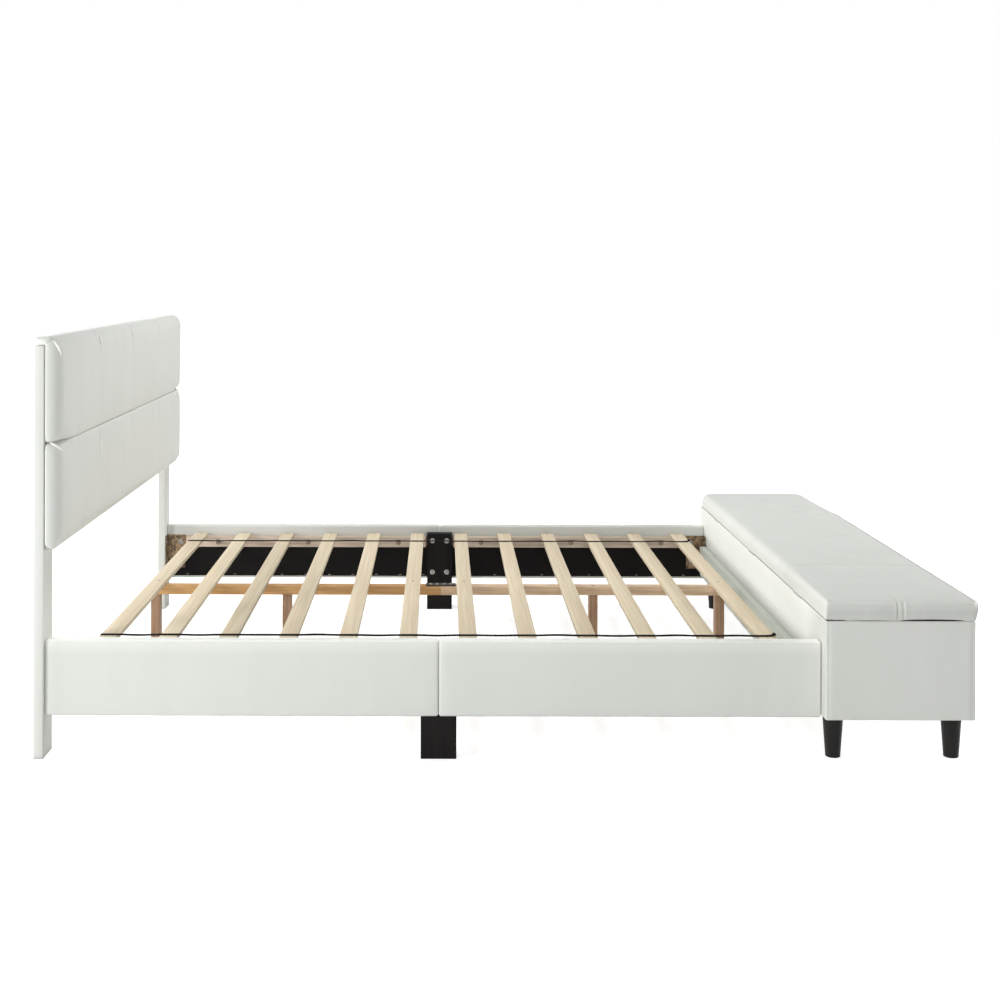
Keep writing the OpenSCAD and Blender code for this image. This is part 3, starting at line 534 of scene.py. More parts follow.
def roundBox(bm, low, high, rim):
    # Every point within the rim of an edge goes onto the edge's round
    for vertex in bm.verts:
        inner = Vector(min(max(c, a + rim), b - rim) for c, a, b in zip(vertex.co, low, high))
        out = vertex.co - inner
        if out.length > 1e-9:
            vertex.co = inner + out.normalized() * rim


def boxShape(low, high):
    bm = bmesh.new()
    addBox(bm, low, high)
    return bm


def softBox(low, high, rim, pitch):
    bm = boxShape(low, high)
    for axis in range(3):
        cutAcross(bm, axis, rimPlaces(low[axis], high[axis], rim, 4))
        if high[axis] - low[axis] > 2 * rim + pitch:
            cutAcross(bm, axis, evenPlaces(low[axis] + rim, high[axis] - rim, pitch))
    roundBox(bm, low, high, rim)
    return bm


def growWall(piece, thickness):
    wall = piece.modifiers.new("wall", "SOLIDIFY")
    wall.thickness = thickness
    wall.offset = -1
    wall.use_even_offset = True
    applyModifiers(piece)


def combine(piece, tool, operation):
    joined = piece.modifiers.new("combine", "BOOLEAN")
    joined.object = tool
    joined.operation = operation
    joined.solver = "EXACT"
    applyModifiers(piece)
    mesh = tool.data
    bpy.data.objects.remove(tool)
    bpy.data.meshes.remove(mesh)


def cutOut(piece, shapes):
    # The shapes are joined first, so that the fine mesh is cut only once
    tools = [newObject(bm, "cutter") for bm in shapes]
    for other in tools[1:]:
        combine(tools[0], other, "UNION")
    combine(piece, tools[0], "DIFFERENCE")


def boltShape(low, high, room):
    # A cylinder along the longest way of a box
    low, high = Vector(low), Vector(high)
    size = high - low
    axis = max(range(3), key=lambda i: size[i])
    radius = max(size[i] for i in range(3) if i != axis) / 2 + room
    bm = bmesh.new()
    bmesh.ops.create_cone(bm, cap_ends=True, segments=24, radius1=radius, radius2=radius,
                          depth=size[axis] + 2 * room)
    turn = axisWay(axis).to_track_quat("Z", "Y").to_matrix().to_4x4()
    bmesh.ops.transform(bm, matrix=Matrix.Translation((low + high) / 2) @ turn, verts=bm.verts)
    return bm


def islandBoxes(node):
    # The box of each separate solid in a CAD node
    bm = bmesh.new()
    bm.from_mesh(cadNodes[node].data)
    bmesh.ops.transform(bm, matrix=cadNodes[node].matrix_world, verts=bm.verts)
    bmesh.ops.remove_doubles(bm, verts=bm.verts, dist=1e-6)
    seen, boxes = set(), []
    for first in bm.verts:
        if first in seen:
            continue
        seen.add(first)
        todo, found = [first], []
        while todo:
            vertex = todo.pop()
            found.append(vertex.co.copy())
            for edge in vertex.link_edges:
                other = edge.other_vert(vertex)
                if other not in seen:
                    seen.add(other)
                    todo.append(other)
        boxes.append(boxAround(found))
    bm.free()
    return boxes


boltBoxes = [box for node in ("headboard_bolts", "frame_bolts", "ledger_bolts")
             for box in islandBoxes(node)]


def cutBoltHoles(piece, room=0.0003):
    low, high = boxAround([vertex.co for vertex in piece.data.vertices])
    shapes = [boltShape(a, b, room) for a, b in boltBoxes
              if all(a[i] < high[i] and b[i] > low[i] for i in range(3))]
    if shapes:
        cutOut(piece, shapes)


# ---- Cushions ----
# A cushion is made lying on the XY plane, then turned and moved into place. Its seams are the
# places of those across it and of those along it.

everyPad = {
    "squareness": 4, "pitch": 0.024, "wallPitch": 0.008, "swell": 0.6, "crownEase": 2.4,
    "pressedFade": 0.09, "pressedWide": 2.5, "pressedNarrow": 0.68, "heldWidth": 0.006,
    "heldFade": (1.6, 1.8), "grooveWidth": 0.0022, "ridgePlace": 0.0055, "ridgeWidth": 0.0024,
    "endReach": 0.05, "fadeDrop": 0.05, "fadeFrom": 0.6, "seamRise": 0.3, "frames": 14,
    "fill": 0.8,
}
headPad = {
    **everyPad, "rim": (0.030, 0.032), "backRim": 0.002, "backGap": 0.0026, "crown": 0.006,
    "crownReach": 0.09, "seamDepth": 0.0016, "ridge": 0.0007, "pull": 0.0014,
    "pullWidth": 0.018, "across": 0.9, "along": 1.0, "faint": 0.25, "puffLimit": 0.004,
    "pressedFill": 0.84, "pressedFrom": 0.035,
}
upperPad = {**headPad, "pressedSide": -1, "bulge": (0.0005, 0.0, 0.003)}
lowerPad = {**headPad, "pressedSide": 1, "bulge": (0.0005, 0.010, 0.0)}
lidPad = {
    **everyPad, "rim": (0.011, 0.019), "backRim": 0.0012, "crown": 0.005, "crownReach": 0.10,
    "bulge": (0.003, 0.007, 0.0), "seamDepth": 0.0022, "ridge": 0.0012, "pull": 0.0016,
    "pullWidth": 0.020, "across": 0.8, "along": 0.10, "faint": 1.0, "puffLimit": 0.003,
    "doubleSeam": 0.0075, "softRim": 0.030, "softFrom": (0.0, 1.1), "softOver": 0.45,
    "pressedSide": -1, "pressedFill": 0.6, "pressedFrom": -1.0,
}
seamCuts = (-0.015, -0.010, -0.0065, -0.004, -0.002, 0.0, 0.002, 0.004, 0.0065, 0.010, 0.015)
cushionCloth = {"vertex_group_mass": "held", "quality": 6, "tension_stiffness": 40,
                "compression_stiffness": 30, "bending_stiffness": 4, "use_pressure": True,
                "uniform_pressure_force": 3.0}
mitre = {"run": 0.020, "width": 0.0014, "depth": 0.012, "sunk": 0.001, "over": 0.01}
# Painted shade on the turned edges of the head pads
padPaintedShade = {"end": 0.24, "top": 0.16, "corner": 0.30}
lidSag = {"height": 0.014, "endY": 0.80, "side": 0.02, "wave": 2.6, "sideLift": 0.0028,
          "rough": 0.4, "ease": 0.4,
          "ends": ((1.03, 1.195, 0.0038), (0.842, 0.89, 0.0022), (0.90, 1.0, 0.0008))}
lidSeam = {"inset": 0.005, "width": 0.0014, "depth": 0.0018, "drop": 0.012}
# Painted light and shade on the lid cushion
lidPaintedLightAndShade = {"turn": 0.4, "turnFrom": 0.006, "turnOver": 0.004, "bedSide": 0.10, "drop": 0.0185,
            "palerBy": 28.0, "dullerBy": 10.4, "palest": -0.35, "dullest": 0.13}
hingeRoom = {"leaf": 0.070, "gap": 0.001, "wall": 0.0009, "over": 0.0005, "under": 0.0002}
cutPast = 0.01


def cushionBlock(shape):
    half, height = shape["half"], shape["height"]
    low, high = (-half[0], -half[1], 0.0), (half[0], half[1], height)
    rim, rise = shape["rim"]
    bm = boxShape(low, high)
    for axis, seams in enumerate(shape["seams"]):
        cutAcross(bm, axis, rimPlaces(low[axis], high[axis], rim))
        if "softRim" in shape:
            cutAcross(bm, axis, rimPlaces(low[axis], high[axis], shape["softRim"]))
        cutAcross(bm, axis, [seam + d for seam in seams for d in seamCuts])
        stops = sorted([low[axis] + rim, high[axis] - rim]
                       + [seam + d for seam in seams for d in (seamCuts[0], seamCuts[-1])])
        for a, b in zip(stops[::2], stops[1::2]):
            cutAcross(bm, axis, evenPlaces(a, b, shape["pitch"]))
    cutAcross(bm, 2, [height - d for d in arcInsets(rise, 5)] + arcInsets(shape["backRim"], 3)
              + evenPlaces(shape["backRim"], height - rise, shape["wallPitch"]))
    for vertex in bm.verts:
        shapeCushionPoint(vertex, shape)
    return bm


def shapeCushionPoint(vertex, shape):
    half, height, backRim = shape["half"], shape["height"], shape["backRim"]
    rim, rise = shape["rim"]
    x, y, z = vertex.co
    inner = Vector((min(max(x, rim - half[0]), half[0] - rim),
                    min(max(y, rim - half[1]), half[1] - rim)))
    out = (Vector((x, y)) - inner) / rim
    reach = max(abs(out.x), abs(out.y))
    if reach > 1e-6:    # square rings become round ones
        power = shape["squareness"]
        out *= reach / (abs(out.x) ** power + abs(out.y) ** power) ** (1 / power)
    base = height - rise
    up = max(0.0, (z - base) / rise)
    if up > 0 and reach > 1e-6:
        ball = Vector((out.x, out.y, up))
        ball *= max(reach, up) / math.hypot(reach, up)
        out, up = Vector((ball.x, ball.y)), ball.z
    if z < backRim:
        drop = 1 - z / backRim
        inset = backRim * (1 - math.sqrt(max(0.0, 1 - drop * drop))) / rim
        if reach > 1 - inset:
            out *= (1 - inset) / reach
    spot = inner + out * rim
    if reach > 1e-6 and backRim < z < height - 1e-6:
        swell = math.sin(math.pi * (z - backRim) / (height - backRim)) ** shape["swell"]
        spot.x += shape["bulge"][0] * out.x * swell
        spot.y += shape["bulge"][1 if out.y < 0 else 2] * out.y * swell
    if z > base:
        z = base + rise * up
    if "softRim" in shape:
        spot, z = softenFarEnd(spot, z, shape)
    spot.y, z = firmEdge(spot, z, shape)
    z += shape["crown"] * crownShare(spot, half, shape) * up
    vertex.co = (spot.x, spot.y, z)


def softenFarEnd(spot, z, shape):
    # Edges grow rounder towards the +X end, on the -Y side only near it
    half = shape["half"]
    begin = shape["softFrom"][1 if spot.y < 0 else 0] - half[0]
    radius = shape["softRim"] * min(1.0, (spot.x - begin) / shape["softOver"])
    if radius <= 0:
        return spot, z
    inner = Vector((min(spot.x, half[0] - radius),
                    min(max(spot.y, radius - half[1]), half[1] - radius),
                    min(z, shape["height"] - radius)))
    out = Vector((spot.x, spot.y, z)) - inner
    if out.length > radius:
        out *= radius / out.length
    return Vector((inner.x + out.x, inner.y + out.y)), inner.z + out.z


def firmEdge(spot, z, shape):
    # Along one side the round is narrower and less deep, as where a neighbour presses on it
    half, side = shape["half"], shape["pressedSide"]
    rim, rise = shape["rim"]
    inside = half[1] - side * spot.y
    free = upToOne((half[0] - abs(spot.x) - shape["pressedFrom"]) / shape["pressedFade"])
    edge = upToOne(1 - inside / rim)
    depth = shape["pressedFill"] * rise * (1 - math.sqrt(1 - edge * edge))
    z += free * depth * min(1.0, z / (shape["height"] - rise))
    if inside > 0:
        wide = min(1.0, inside / (shape["pressedWide"] * rim))
        inside *= 1 - free * shape["pressedNarrow"] * (1 - wide * wide * (3 - 2 * wide))
    return side * (half[1] - inside), z


def crownShare(spot, half, shape):
    share = 1.0
    for way, edge in zip(spot, half):
        inside = upToOne((edge - abs(way)) / shape["crownReach"])
        share *= 1 - (1 - inside) ** shape["crownEase"]
    return share


def heldWeight(co, shape):
    # Where the cover is stapled or sewn it can't swell
    across, along = shape["seams"]
    near = min([abs(co.x - seam) for seam in across] + [abs(co.y - seam) for seam in along])
    side = (co.z - shape["backRim"]) / (shape["height"] - shape["backRim"])
    most, fade = shape["heldFade"]
    return max(1.0 if near < shape["heldWidth"] else 0.0, min(1.0, most - fade * side))


def inflate(piece, shape):
    held = piece.vertex_groups.new(name="held")
    for vertex in piece.data.vertices:
        held.add([vertex.index], heldWeight(vertex.co, shape), "REPLACE")
    cloth = piece.modifiers.new("cloth", "CLOTH")
    for name, value in cushionCloth.items():
        setattr(cloth.settings, name, value)
    cloth.settings.effector_weights.gravity = 0
    cloth.point_cache.frame_end = shape["frames"]
    for step in range(1, shape["frames"] + 1):
        scene.frame_set(step)
    swollen = piece.evaluated_get(bpy.context.evaluated_depsgraph_get()).data
    places = [vertex.co.copy() for vertex in swollen.vertices]
    piece.modifiers.clear()
    piece.vertex_groups.clear()
    for vertex, spot in zip(piece.data.vertices, places):
        move = spot - vertex.co
        if move.length > shape["puffLimit"]:
            move *= shape["puffLimit"] / move.length
        vertex.co += move
    piece.data.update()
    scene.frame_set(1)


def seamProfile(distance, shape):
    # A narrow stitched groove between two low ridges, in a shallow hollow
    fromRidge = abs(distance) - shape["ridgePlace"]
    groove = shape["seamDepth"] * math.exp(-(distance / shape["grooveWidth"]) ** 2)
    ridges = shape["ridge"] * math.exp(-(fromRidge / shape["ridgeWidth"]) ** 2)
    hollow = shape["pull"] * math.exp(-(distance / shape["pullWidth"]) ** 2)
    return ridges - groove - hollow


def seamHeights(co, shape):
    # Lengthwise seams are drawn tight only down the ends, and cross seams at their top
    toEnd = shape["half"][0] - abs(co.x)
    ends = max(0.0, 1 - toEnd / shape["endReach"])
    along = shape["along"] + (1 - shape["along"]) * ends
    fromTop = upToOne((shape["half"][1] - co.y) / shape["fadeDrop"] - shape["fadeFrom"])
    across = shape["across"] * (1 - (1 - shape["faint"]) * fromTop)
    return ([across * seamProfile(co.x - seam, shape) for seam in shape["seams"][0]]
            + [along * seamProfile(co.y - seam, shape) for seam in shape["seams"][1]] + [0.0])


def sewSeams(piece, shape):
    rise = shape["seamRise"] * shape["height"]
    for vertex in piece.data.vertices:
        heights = seamHeights(vertex.co, shape)
        low, high = min(heights), max(heights)
        share = upToOne((vertex.co.z - shape["backRim"]) / rise)
        vertex.co += vertex.normal * (low if low < 0 else high) * share
    piece.data.update()


def makeCushion(name, node, body, size, seams, look, turn):
    shape = {**look, "half": (size[0] / 2, size[1] / 2), "height": size[2],
             "seams": ([-size[0] / 4, 0.0, size[0] / 4], seams)}
    piece = finishPiece(cushionBlock(shape), name, body, "whitePadPu", [node])
    inflate(piece, shape)
    sewSeams(piece, shape)
    smooth = piece.modifiers.new("smooth", "SUBSURF")
    smooth.levels = smooth.render_levels = 1
    applyModifiers(piece)
    piece.data.transform(turn)
    return piece


def turned(axisX, axisY, axisZ, origin):
    return Matrix([[axisX[i], axisY[i], axisZ[i], origin[i]] for i in range(3)] + [[0, 0, 0, 1]])


def tiltedSlab(start, end, width, depthWays):
    # A thin slab on the line between two points, which reaches to both depths along Y
    start, end = Vector(start), Vector(end)
    line = end - start
    bm = bmesh.new()
    bmesh.ops.create_cube(bm, size=1)
    bmesh.ops.scale(bm, vec=(line.length, depthWays[1] - depthWays[0], width), verts=bm.verts)
    slope = Matrix.Rotation(-math.atan2(line.z, line.x), 4, "Y")
    middle = (start + end) / 2
    middle.y = sum(depthWays) / 2
    bmesh.ops.transform(bm, matrix=Matrix.Translation(middle) @ slope, verts=bm.verts)
    return bm


def mitreSlabs(low, high):
    # The sewn line across the upper corner of each end of the upper pad
    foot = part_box("right_post_cover")[1].z - mitre["sunk"]
    slabs = []
    for end, inward in ((low.y, 1), (high.y, -1)):
        ways = sorted((end - inward * mitre["over"], end + inward * mitre["depth"]))
        slabs.append(tiltedSlab((low.x, 0, foot), (low.x + mitre["run"], 0, foot + mitre["run"]),
                                mitre["width"], ways))
    return slabs


def padPaintedShading(spot, out):
    # Painted shade: duller where the cover turns over the ends and top of the pad, a little less
    # at the upper corners
    turning = (padPaintedShade["end"] * abs(out.y) + padPaintedShade["top"] * max(0.0, out.z)
               - padPaintedShade["corner"] * abs(out.y * out.z))
    return max(0.0, out.x) * turning


def makeHeadPad(name, node, board, look, mitred):
    low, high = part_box(node)
    gap = look["backGap"]
    size = (high.y - low.y - 2 * look["bulge"][0], high.z - low.z,
            high.x - low.x - look["crown"] - gap)
    turn = turned((0, 1, 0), (0, 0, 1), (1, 0, 0), (low.x + gap, 0, (low.z + high.z) / 2))
    piece = makeCushion(name, node, "bed", size, [], look, turn)
    cutOut(piece, [boxShape(*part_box(board)), *(mitreSlabs(low, high) if mitred else [])])
    piece.data.shade_smooth()
    paintLightOnCover(piece, padPaintedShading)


def liftRim(piece, low):
    # The cushion's lower edge stands off the rim in places, most near the foot corners
    for vertex in piece.data.vertices:
        rise = 1 - (vertex.co.z - low.z) / lidSag["height"]
        if rise <= 0:
            continue
        lift = 0.0
        for first, last, amount in lidSag["ends"]:
            if first < vertex.co.x < last and abs(vertex.co.y) > lidSag["endY"]:
                share = (vertex.co.x - first) / (last - first)
                lift = max(lift, amount * math.sin(math.pi * share) ** lidSag["ease"])
        if vertex.co.x < low.x + lidSag["side"]:
            rough = noise.noise(Vector((0, vertex.co.y * lidSag["wave"], 2)))
            lift = max(lift, lidSag["sideLift"] * (1.0 + lidSag["rough"] * rough))
        vertex.co.z += lift * rise


def makeLidPad():
    low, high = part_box("lid_cushion")
    bulgeY, bulgeX = lidPad["bulge"][:2]
    size = (high.y - low.y - 2 * bulgeY, high.x - low.x - bulgeX,
            high.z - low.z - lidPad["crown"])
    turn = turned((0, 1, 0), (-1, 0, 0), (0, 0, 1), ((low.x + high.x - bulgeX) / 2, 0, low.z))
    seams = [-lidPad["doubleSeam"], lidPad["doubleSeam"]]
    piece = makeCushion("lidCushion", "lid_cushion", "lid", size, seams, lidPad, turn)
    liftRim(piece, low)
    boardLow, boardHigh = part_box("lid_board")
    liningLow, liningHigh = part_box("lid_lining")
    below = low.z - cutPast
    x = low.x + lidSeam["inset"]
    corners = [boxShape((x - lidSeam["width"] / 2, y - lidSeam["depth"] - bulgeY, below),
                        (x + lidSeam["width"] / 2, y + lidSeam["depth"] + bulgeY,
                         high.z - lidSeam["drop"])) for y in (low.y, high.y)]
    cutOut(piece, corners + [
        boxShape(boardLow, boardHigh),
        boxShape((liningLow.x, liningLow.y, below),
                 (liningHigh.x, liningHigh.y, boardLow.z + 0.001)),
        *hingeMortises(below, boardLow.z + hingeRoom["over"]),
    ])
    piece.data.shade_smooth()
    paintLightOnCover(piece, lambda spot, out: lidPaintedShading(spot, out, high))


def lidPaintedShading(spot, out, high):
    # Painted light and shade: duller on the bed side, paler near the top of the ends and duller
    # lower down, and darkest where the foot corners turn
    turn = upToOne((spot.x - high.x + lidPaintedLightAndShade["turnFrom"]) / lidPaintedLightAndShade["turnOver"]) * abs(out.y)
    down = high.z - spot.z - lidPaintedLightAndShade["drop"]
    end = max(lidPaintedLightAndShade["palest"],
              min(lidPaintedLightAndShade["palerBy"] * down, lidPaintedLightAndShade["dullerBy"] * down, lidPaintedLightAndShade["dullest"]))
    return (lidPaintedLightAndShade["bedSide"] * max(0.0, -out.x) + lidPaintedLightAndShade["turn"] * turn
            + out.y * out.y * end)


def hingeMortises(bottom, top):
    # Room for the three hinges, on the bed side
    leafLow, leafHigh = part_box("hinge_lid_leaves")
    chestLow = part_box("chest_cover")[0]
    length, gap = hingeRoom["leaf"], hingeRoom["gap"]
    centres = [leafLow.y + length / 2, 0.0, leafHigh.y - length / 2]
    return [boxShape((chestLow.x + hingeRoom["wall"], y - length / 2 - gap, bottom),
                     (leafHigh.x + gap, y + length / 2 + gap, top)) for y in centres]


makeHeadPad("upperPad", "upper_pad", "upper_pad_board", upperPad, True)
makeHeadPad("lowerPad", "lower_pad", "lower_pad_board", lowerPad, False)
makeLidPad()
print("cushions made")

# ---- Covers over the boards ----
# Stretched cloth lies up to dip inside its drawn face, so that it never meets what it touches.

coverShapes = {
    "rail": {"rim": 0.007, "wall": 0.003, "pitch": 0.03, "dip": 0.0006, "scale": 9.0},
    "post": {"rim": 0.0038, "wall": 0.003, "pitch": 0.03, "dip": 0.0006, "scale": 9.0},
    "topRail": {"rim": 0.010, "wall": None, "pitch": 0.03, "dip": 0.0004, "scale": 12.0},
    "cleat": {"rim": 0.003, "wall": None, "pitch": 0.04, "dip": 0.0004, "scale": 12.0},
    "chest": {"rim": 0.005, "wall": 0.003, "pitch": 0.03, "dip": 0.0008, "scale": 6.0,
              "flatAbove": 0.35},
}
cornerSeam = {"inset": 0.0022, "width": 0.0012, "depth": 0.0013}
# Painted highlight on the right rails and painted shade on the inner faces of the left rails
railPaintedLightAndShade = {"top": -0.36, "turn": -0.14, "side": -0.03, "farInner": 0.16}
# Painted light on the top rail cover
topRailPaintedLight = -0.2
# Painted light and shade on the chest cover
chestPaintedLightAndShade = {"lining": 0.97, "gapShadeIn": 0.0045, "turn": 0.3, "turnIn": 0.0033,
            "near": 0.27, "nearFrom": -0.66, "nearOver": 0.12,
            "bedSide": 0.08, "bedFrom": -0.2, "bedOver": 0.5}


def dipIn(bm, shape, seed):
    bm.normal_update()
    shift = Vector((seed * 3.1, seed * 1.7, seed * 2.3))
    for vertex in bm.verts:
        swell = 0.5 + 0.5 * noise.noise(vertex.co * shape["scale"] + shift)
        if vertex.co.z < shape.get("flatAbove", 9.0):
            vertex.co -= vertex.normal * shape["dip"] * swell


def finishCover(bm, name, shape, nodes, seed, material="whitePu"):
    dipIn(bm, shape, seed)
    piece = finishPiece(bm, name, "bed", material, nodes)
    if shape["wall"]:
        growWall(piece, shape["wall"] - shape["dip"])
    return piece


def nearRailPaintedHighlight(spot, out):
    # Painted highlight: the upper edge of the right rails is the palest, and their sides a little
    # paler too
    return railPaintedLightAndShade["top" if out.z > 0.5 else "turn" if out.z > 0.05 else "side"]


def farRailPaintedShade(spot, out):
    # Painted shade: the inner faces of the left rails are duller
    return railPaintedLightAndShade["farInner"] if out.y < -0.7 else 0.0


def makeRailCover(node, name, seed):
    shape = coverShapes["rail"]
    low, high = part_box(node)
    bm = softBox(low, high, shape["rim"], shape["pitch"])
    innerY = low.y if low.y > 0 else high.y
    bottom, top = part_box("rail_felt")[0].z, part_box("slats")[0].z
    cutAcross(bm, 2, [bottom, top])
    window = [face for face in bm.faces
              if abs(face.calc_center_median().y - innerY) < 1e-5
              and bottom < face.calc_center_median().z < top]
    bmesh.ops.delete(bm, geom=window, context="FACES")
    piece = finishCover(bm, name, shape, [node], seed)
    cutBoltHoles(piece)
    paintLightOnCover(piece, nearRailPaintedHighlight if low.y < 0 else farRailPaintedShade)


def makePostCover(node, name, seed):
    shape = coverShapes["post"]
    low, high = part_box(node)
    bm = softBox((low.x, low.y, low.z - 0.05), high, shape["rim"], shape["pitch"])
    cutAcross(bm, 2, [low.z], clear_inner=True)
    cutBoltHoles(finishCover(bm, name, shape, [node], seed))


def makeTopRail():
    # Its front edge runs on inside the pad, so the top reads as one cover
    shape = coverShapes["topRail"]
    low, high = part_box("headboard_top_rail")
    bm = softBox(low, (high.x + shape["rim"], high.y, high.z), shape["rim"], shape["pitch"])
    piece = finishCover(bm, "topRailCover", shape, ["headboard_top_rail"], 5)
    # Painted light: the whole top rail cover is paler
    paintLightOnCover(piece, lambda spot, out: topRailPaintedLight)


def makeCleat():
    shape = coverShapes["cleat"]
    bm = softBox(*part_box("foot_cleat"), shape["rim"], shape["pitch"])
    # Painted shade: the cleat gets the darker copy of the white cover
    cutBoltHoles(finishCover(bm, "footCleat", shape, ["foot_cleat"], 6, "shadedWhitePu"))


def sewCorners(bm, low, high, rim):
    # A fine sewn line beside each upright edge, on the two ends
    places = [low.x + rim + cornerSeam["inset"], high.x - rim - cornerSeam["inset"]]
    steps = [cornerSeam["width"] * i for i in range(-2, 3)]
    cutAcross(bm, 0, [line + step for line in places for step in steps])
    bm.normal_update()
    for vertex in bm.verts:
        if abs(vertex.normal.y) > 0.7:
            near = min(abs(vertex.co.x - line) for line in places)
            vertex.co -= (vertex.normal * cornerSeam["depth"]
                          * math.exp(-(near / cornerSeam["width"]) ** 2))


def makeChestCover():
    shape = coverShapes["chest"]
    low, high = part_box("chest_cover")
    roomLow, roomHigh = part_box("chest_lining")
    bm = softBox(low, high, shape["rim"], shape["pitch"])
    cutAcross(bm, 0, [roomLow.x, roomHigh.x])
    cutAcross(bm, 1, [roomLow.y, roomHigh.y])
    middles = [(face, face.calc_center_median()) for face in bm.faces]
    mouth = [face for face, middle in middles
             if middle.z > high.z - 1e-5 and roomLow.x < middle.x < roomHigh.x
             and roomLow.y < middle.y < roomHigh.y]
    bmesh.ops.delete(bm, geom=mouth, context="FACES")
    sewCorners(bm, low, high, shape["rim"])
    piece = finishCover(bm, "chestCover", shape, ["chest_cover"], 7)
    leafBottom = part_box("hinge_chest_leaves")[0].z
    cutOut(piece, hingeMortises(leafBottom - hingeRoom["under"], high.z + cutPast))
    cutBoltHoles(piece)
    paintLightOnCover(piece, lambda spot, out: chestPaintedShading(spot, out, low, high))


def chestPaintedShading(spot, out, low, high):
    # Painted shade: under the lid the rim's top is near black, for the shade in the gap there.
    # Where the foot end turns to the sides it is darker, painted shade. The bed side is paler
    # towards its -Y end, painted light, and duller at that end itself, painted shade.
    inside = min(spot.x - low.x, high.x - spot.x, spot.y - low.y, high.y - spot.y)
    if inside > chestPaintedLightAndShade["gapShadeIn"] and spot.z > high.z - 0.001:
        return chestPaintedLightAndShade["lining"]
    if spot.x > high.x - chestPaintedLightAndShade["turnIn"] and abs(out.y) > 0.3:
        return chestPaintedLightAndShade["turn"]
    if out.x > -0.7:
        return 0.0
    return (chestPaintedLightAndShade["near"] * upToOne((chestPaintedLightAndShade["nearFrom"] - spot.y) / chestPaintedLightAndShade["nearOver"])
            - chestPaintedLightAndShade["bedSide"] * upToOne((chestPaintedLightAndShade["bedFrom"] - spot.y) / chestPaintedLightAndShade["bedOver"]))


railEnds = [(side, end) for side in ("right", "left") for end in ("Head", "Foot")]
for seed, (side, end) in enumerate(railEnds, 10):
    makeRailCover(f"{side}_{end.lower()}_rail_cover", f"{side}{end}RailCover", seed)
makePostCover("right_post_cover", "rightPostCover", 20)
makePostCover("left_post_cover", "leftPostCover", 21)
makeTopRail()
makeCleat()
makeChestCover()
print("covers made")

# ---- Slats ----

slatShape = {"count": 12, "width": 0.048, "round": 0.0012, "lengthSpread": 0.002,
             "sideFaceDarkening": 2.0,
             "tones": (0.0, -0.2, 0.5, 0.45, -0.1, -0.5, 0.35, -0.35, 0.2, 0.15, -0.95, -0.3)}


def slatCentres():
    low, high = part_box("slats")
    first, last = low.x + slatShape["width"] / 2, high.x - slatShape["width"] / 2
    count = slatShape["count"]
    return [first + (last - first) * i / (count - 1) for i in range(count)]


def makeSlats():
    draw = random.Random(4)
    low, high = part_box("slats")
    half = slatShape["width"] / 2
    bm = bmesh.new()
    tone = bm.faces.layers.float.new("boardTone")
    for centre, shift in zip(slatCentres(), slatShape["tones"]):
        trims = [draw.uniform(0, slatShape["lengthSpread"]) for end in range(2)]
        before = set(bm.faces)
        verts = addBox(bm, (centre - half, low.y + trims[0], low.z),
                       (centre + half, high.y - trims[1], high.z))
        edges = list({edge for vertex in verts for edge in vertex.link_edges})
        bmesh.ops.bevel(bm, geom=edges, offset=slatShape["round"], segments=2, profile=0.5,
                        affect="EDGES", material=-1)
        bm.normal_update()
        own = draw.uniform(0, 1) + shift
        for face in set(bm.faces) - before:
            # The side and end faces of each slat are darker than its top and bottom
            sideFace = abs(face.normal.x) > 0.8 or abs(face.normal.y) > 0.8
            face[tone] = own + (slatShape["sideFaceDarkening"] if sideFace else 0)
    finishPiece(bm, "slatBoards", "bed", "slatPine", ["slats"], sharp=40)


makeSlats()
print("slats made")

# ---- Webbing, felt, back cloth and linings ----

clothShape = {"thickness": 0.0012, "wave": 0.0015, "waveScale": 14, "waveReach": 0.03,
              "pitch": 0.03, "liningPitch": 0.04, "backIn": 0.0006}
stapleShape = {"width": 0.010, "wire": 0.0009, "inset": 0.008, "end": 0.02, "spacing": 0.06,
               "feltUp": 0.006, "feltEnd": 0.03, "feltSpacing": 0.09}
strapShape = {"trim": 0.0055, "pitch": (0.012, 0.0055), "rise": (-0.0014, 0.0020),
              "shear": 0.4, "curlReach": 0.022, "curl": 0.0045, "hem": 0.007,
              "hemIn": 0.001, "hemUp": (0.002, 0.0062)}


def makeStrap(node, name, seed):
    # Webbing that dips or rides up a little between the slats, its foot end folded under
    draw = random.Random(seed)
    low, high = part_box(node)
    low.y += strapShape["trim"]
    bm = boxShape(low, high)
    cutEvenly(bm, low, high, strapShape["pitch"])
    centres = slatCentres()
    rises = [draw.uniform(*strapShape["rise"]) for gap in centres[1:]]
    half = slatShape["width"] / 2
    for vertex in bm.verts:
        for a, b, rise in zip(centres, centres[1:], rises):
            if a + half < vertex.co.x < b - half:
                share = (vertex.co.x - a - half) / (b - a - 2 * half)
                vertex.co.z += rise * math.sin(math.pi * share) ** 2
                vertex.co.y += strapShape["shear"] * rise * math.sin(math.pi * share)
        reach = strapShape["curlReach"]
        curl = max(0.0, (vertex.co.x - high.x + reach) / reach)
        vertex.co.z += strapShape["curl"] * curl * curl
    under, over = strapShape["hemUp"]
    addBox(bm, (high.x - strapShape["hem"], low.y + strapShape["hemIn"], high.z + under),
           (high.x, high.y - strapShape["hemIn"], high.z + over))
    finishPiece(bm, name, "bed", "blackWebbing", [node], sharp=50)


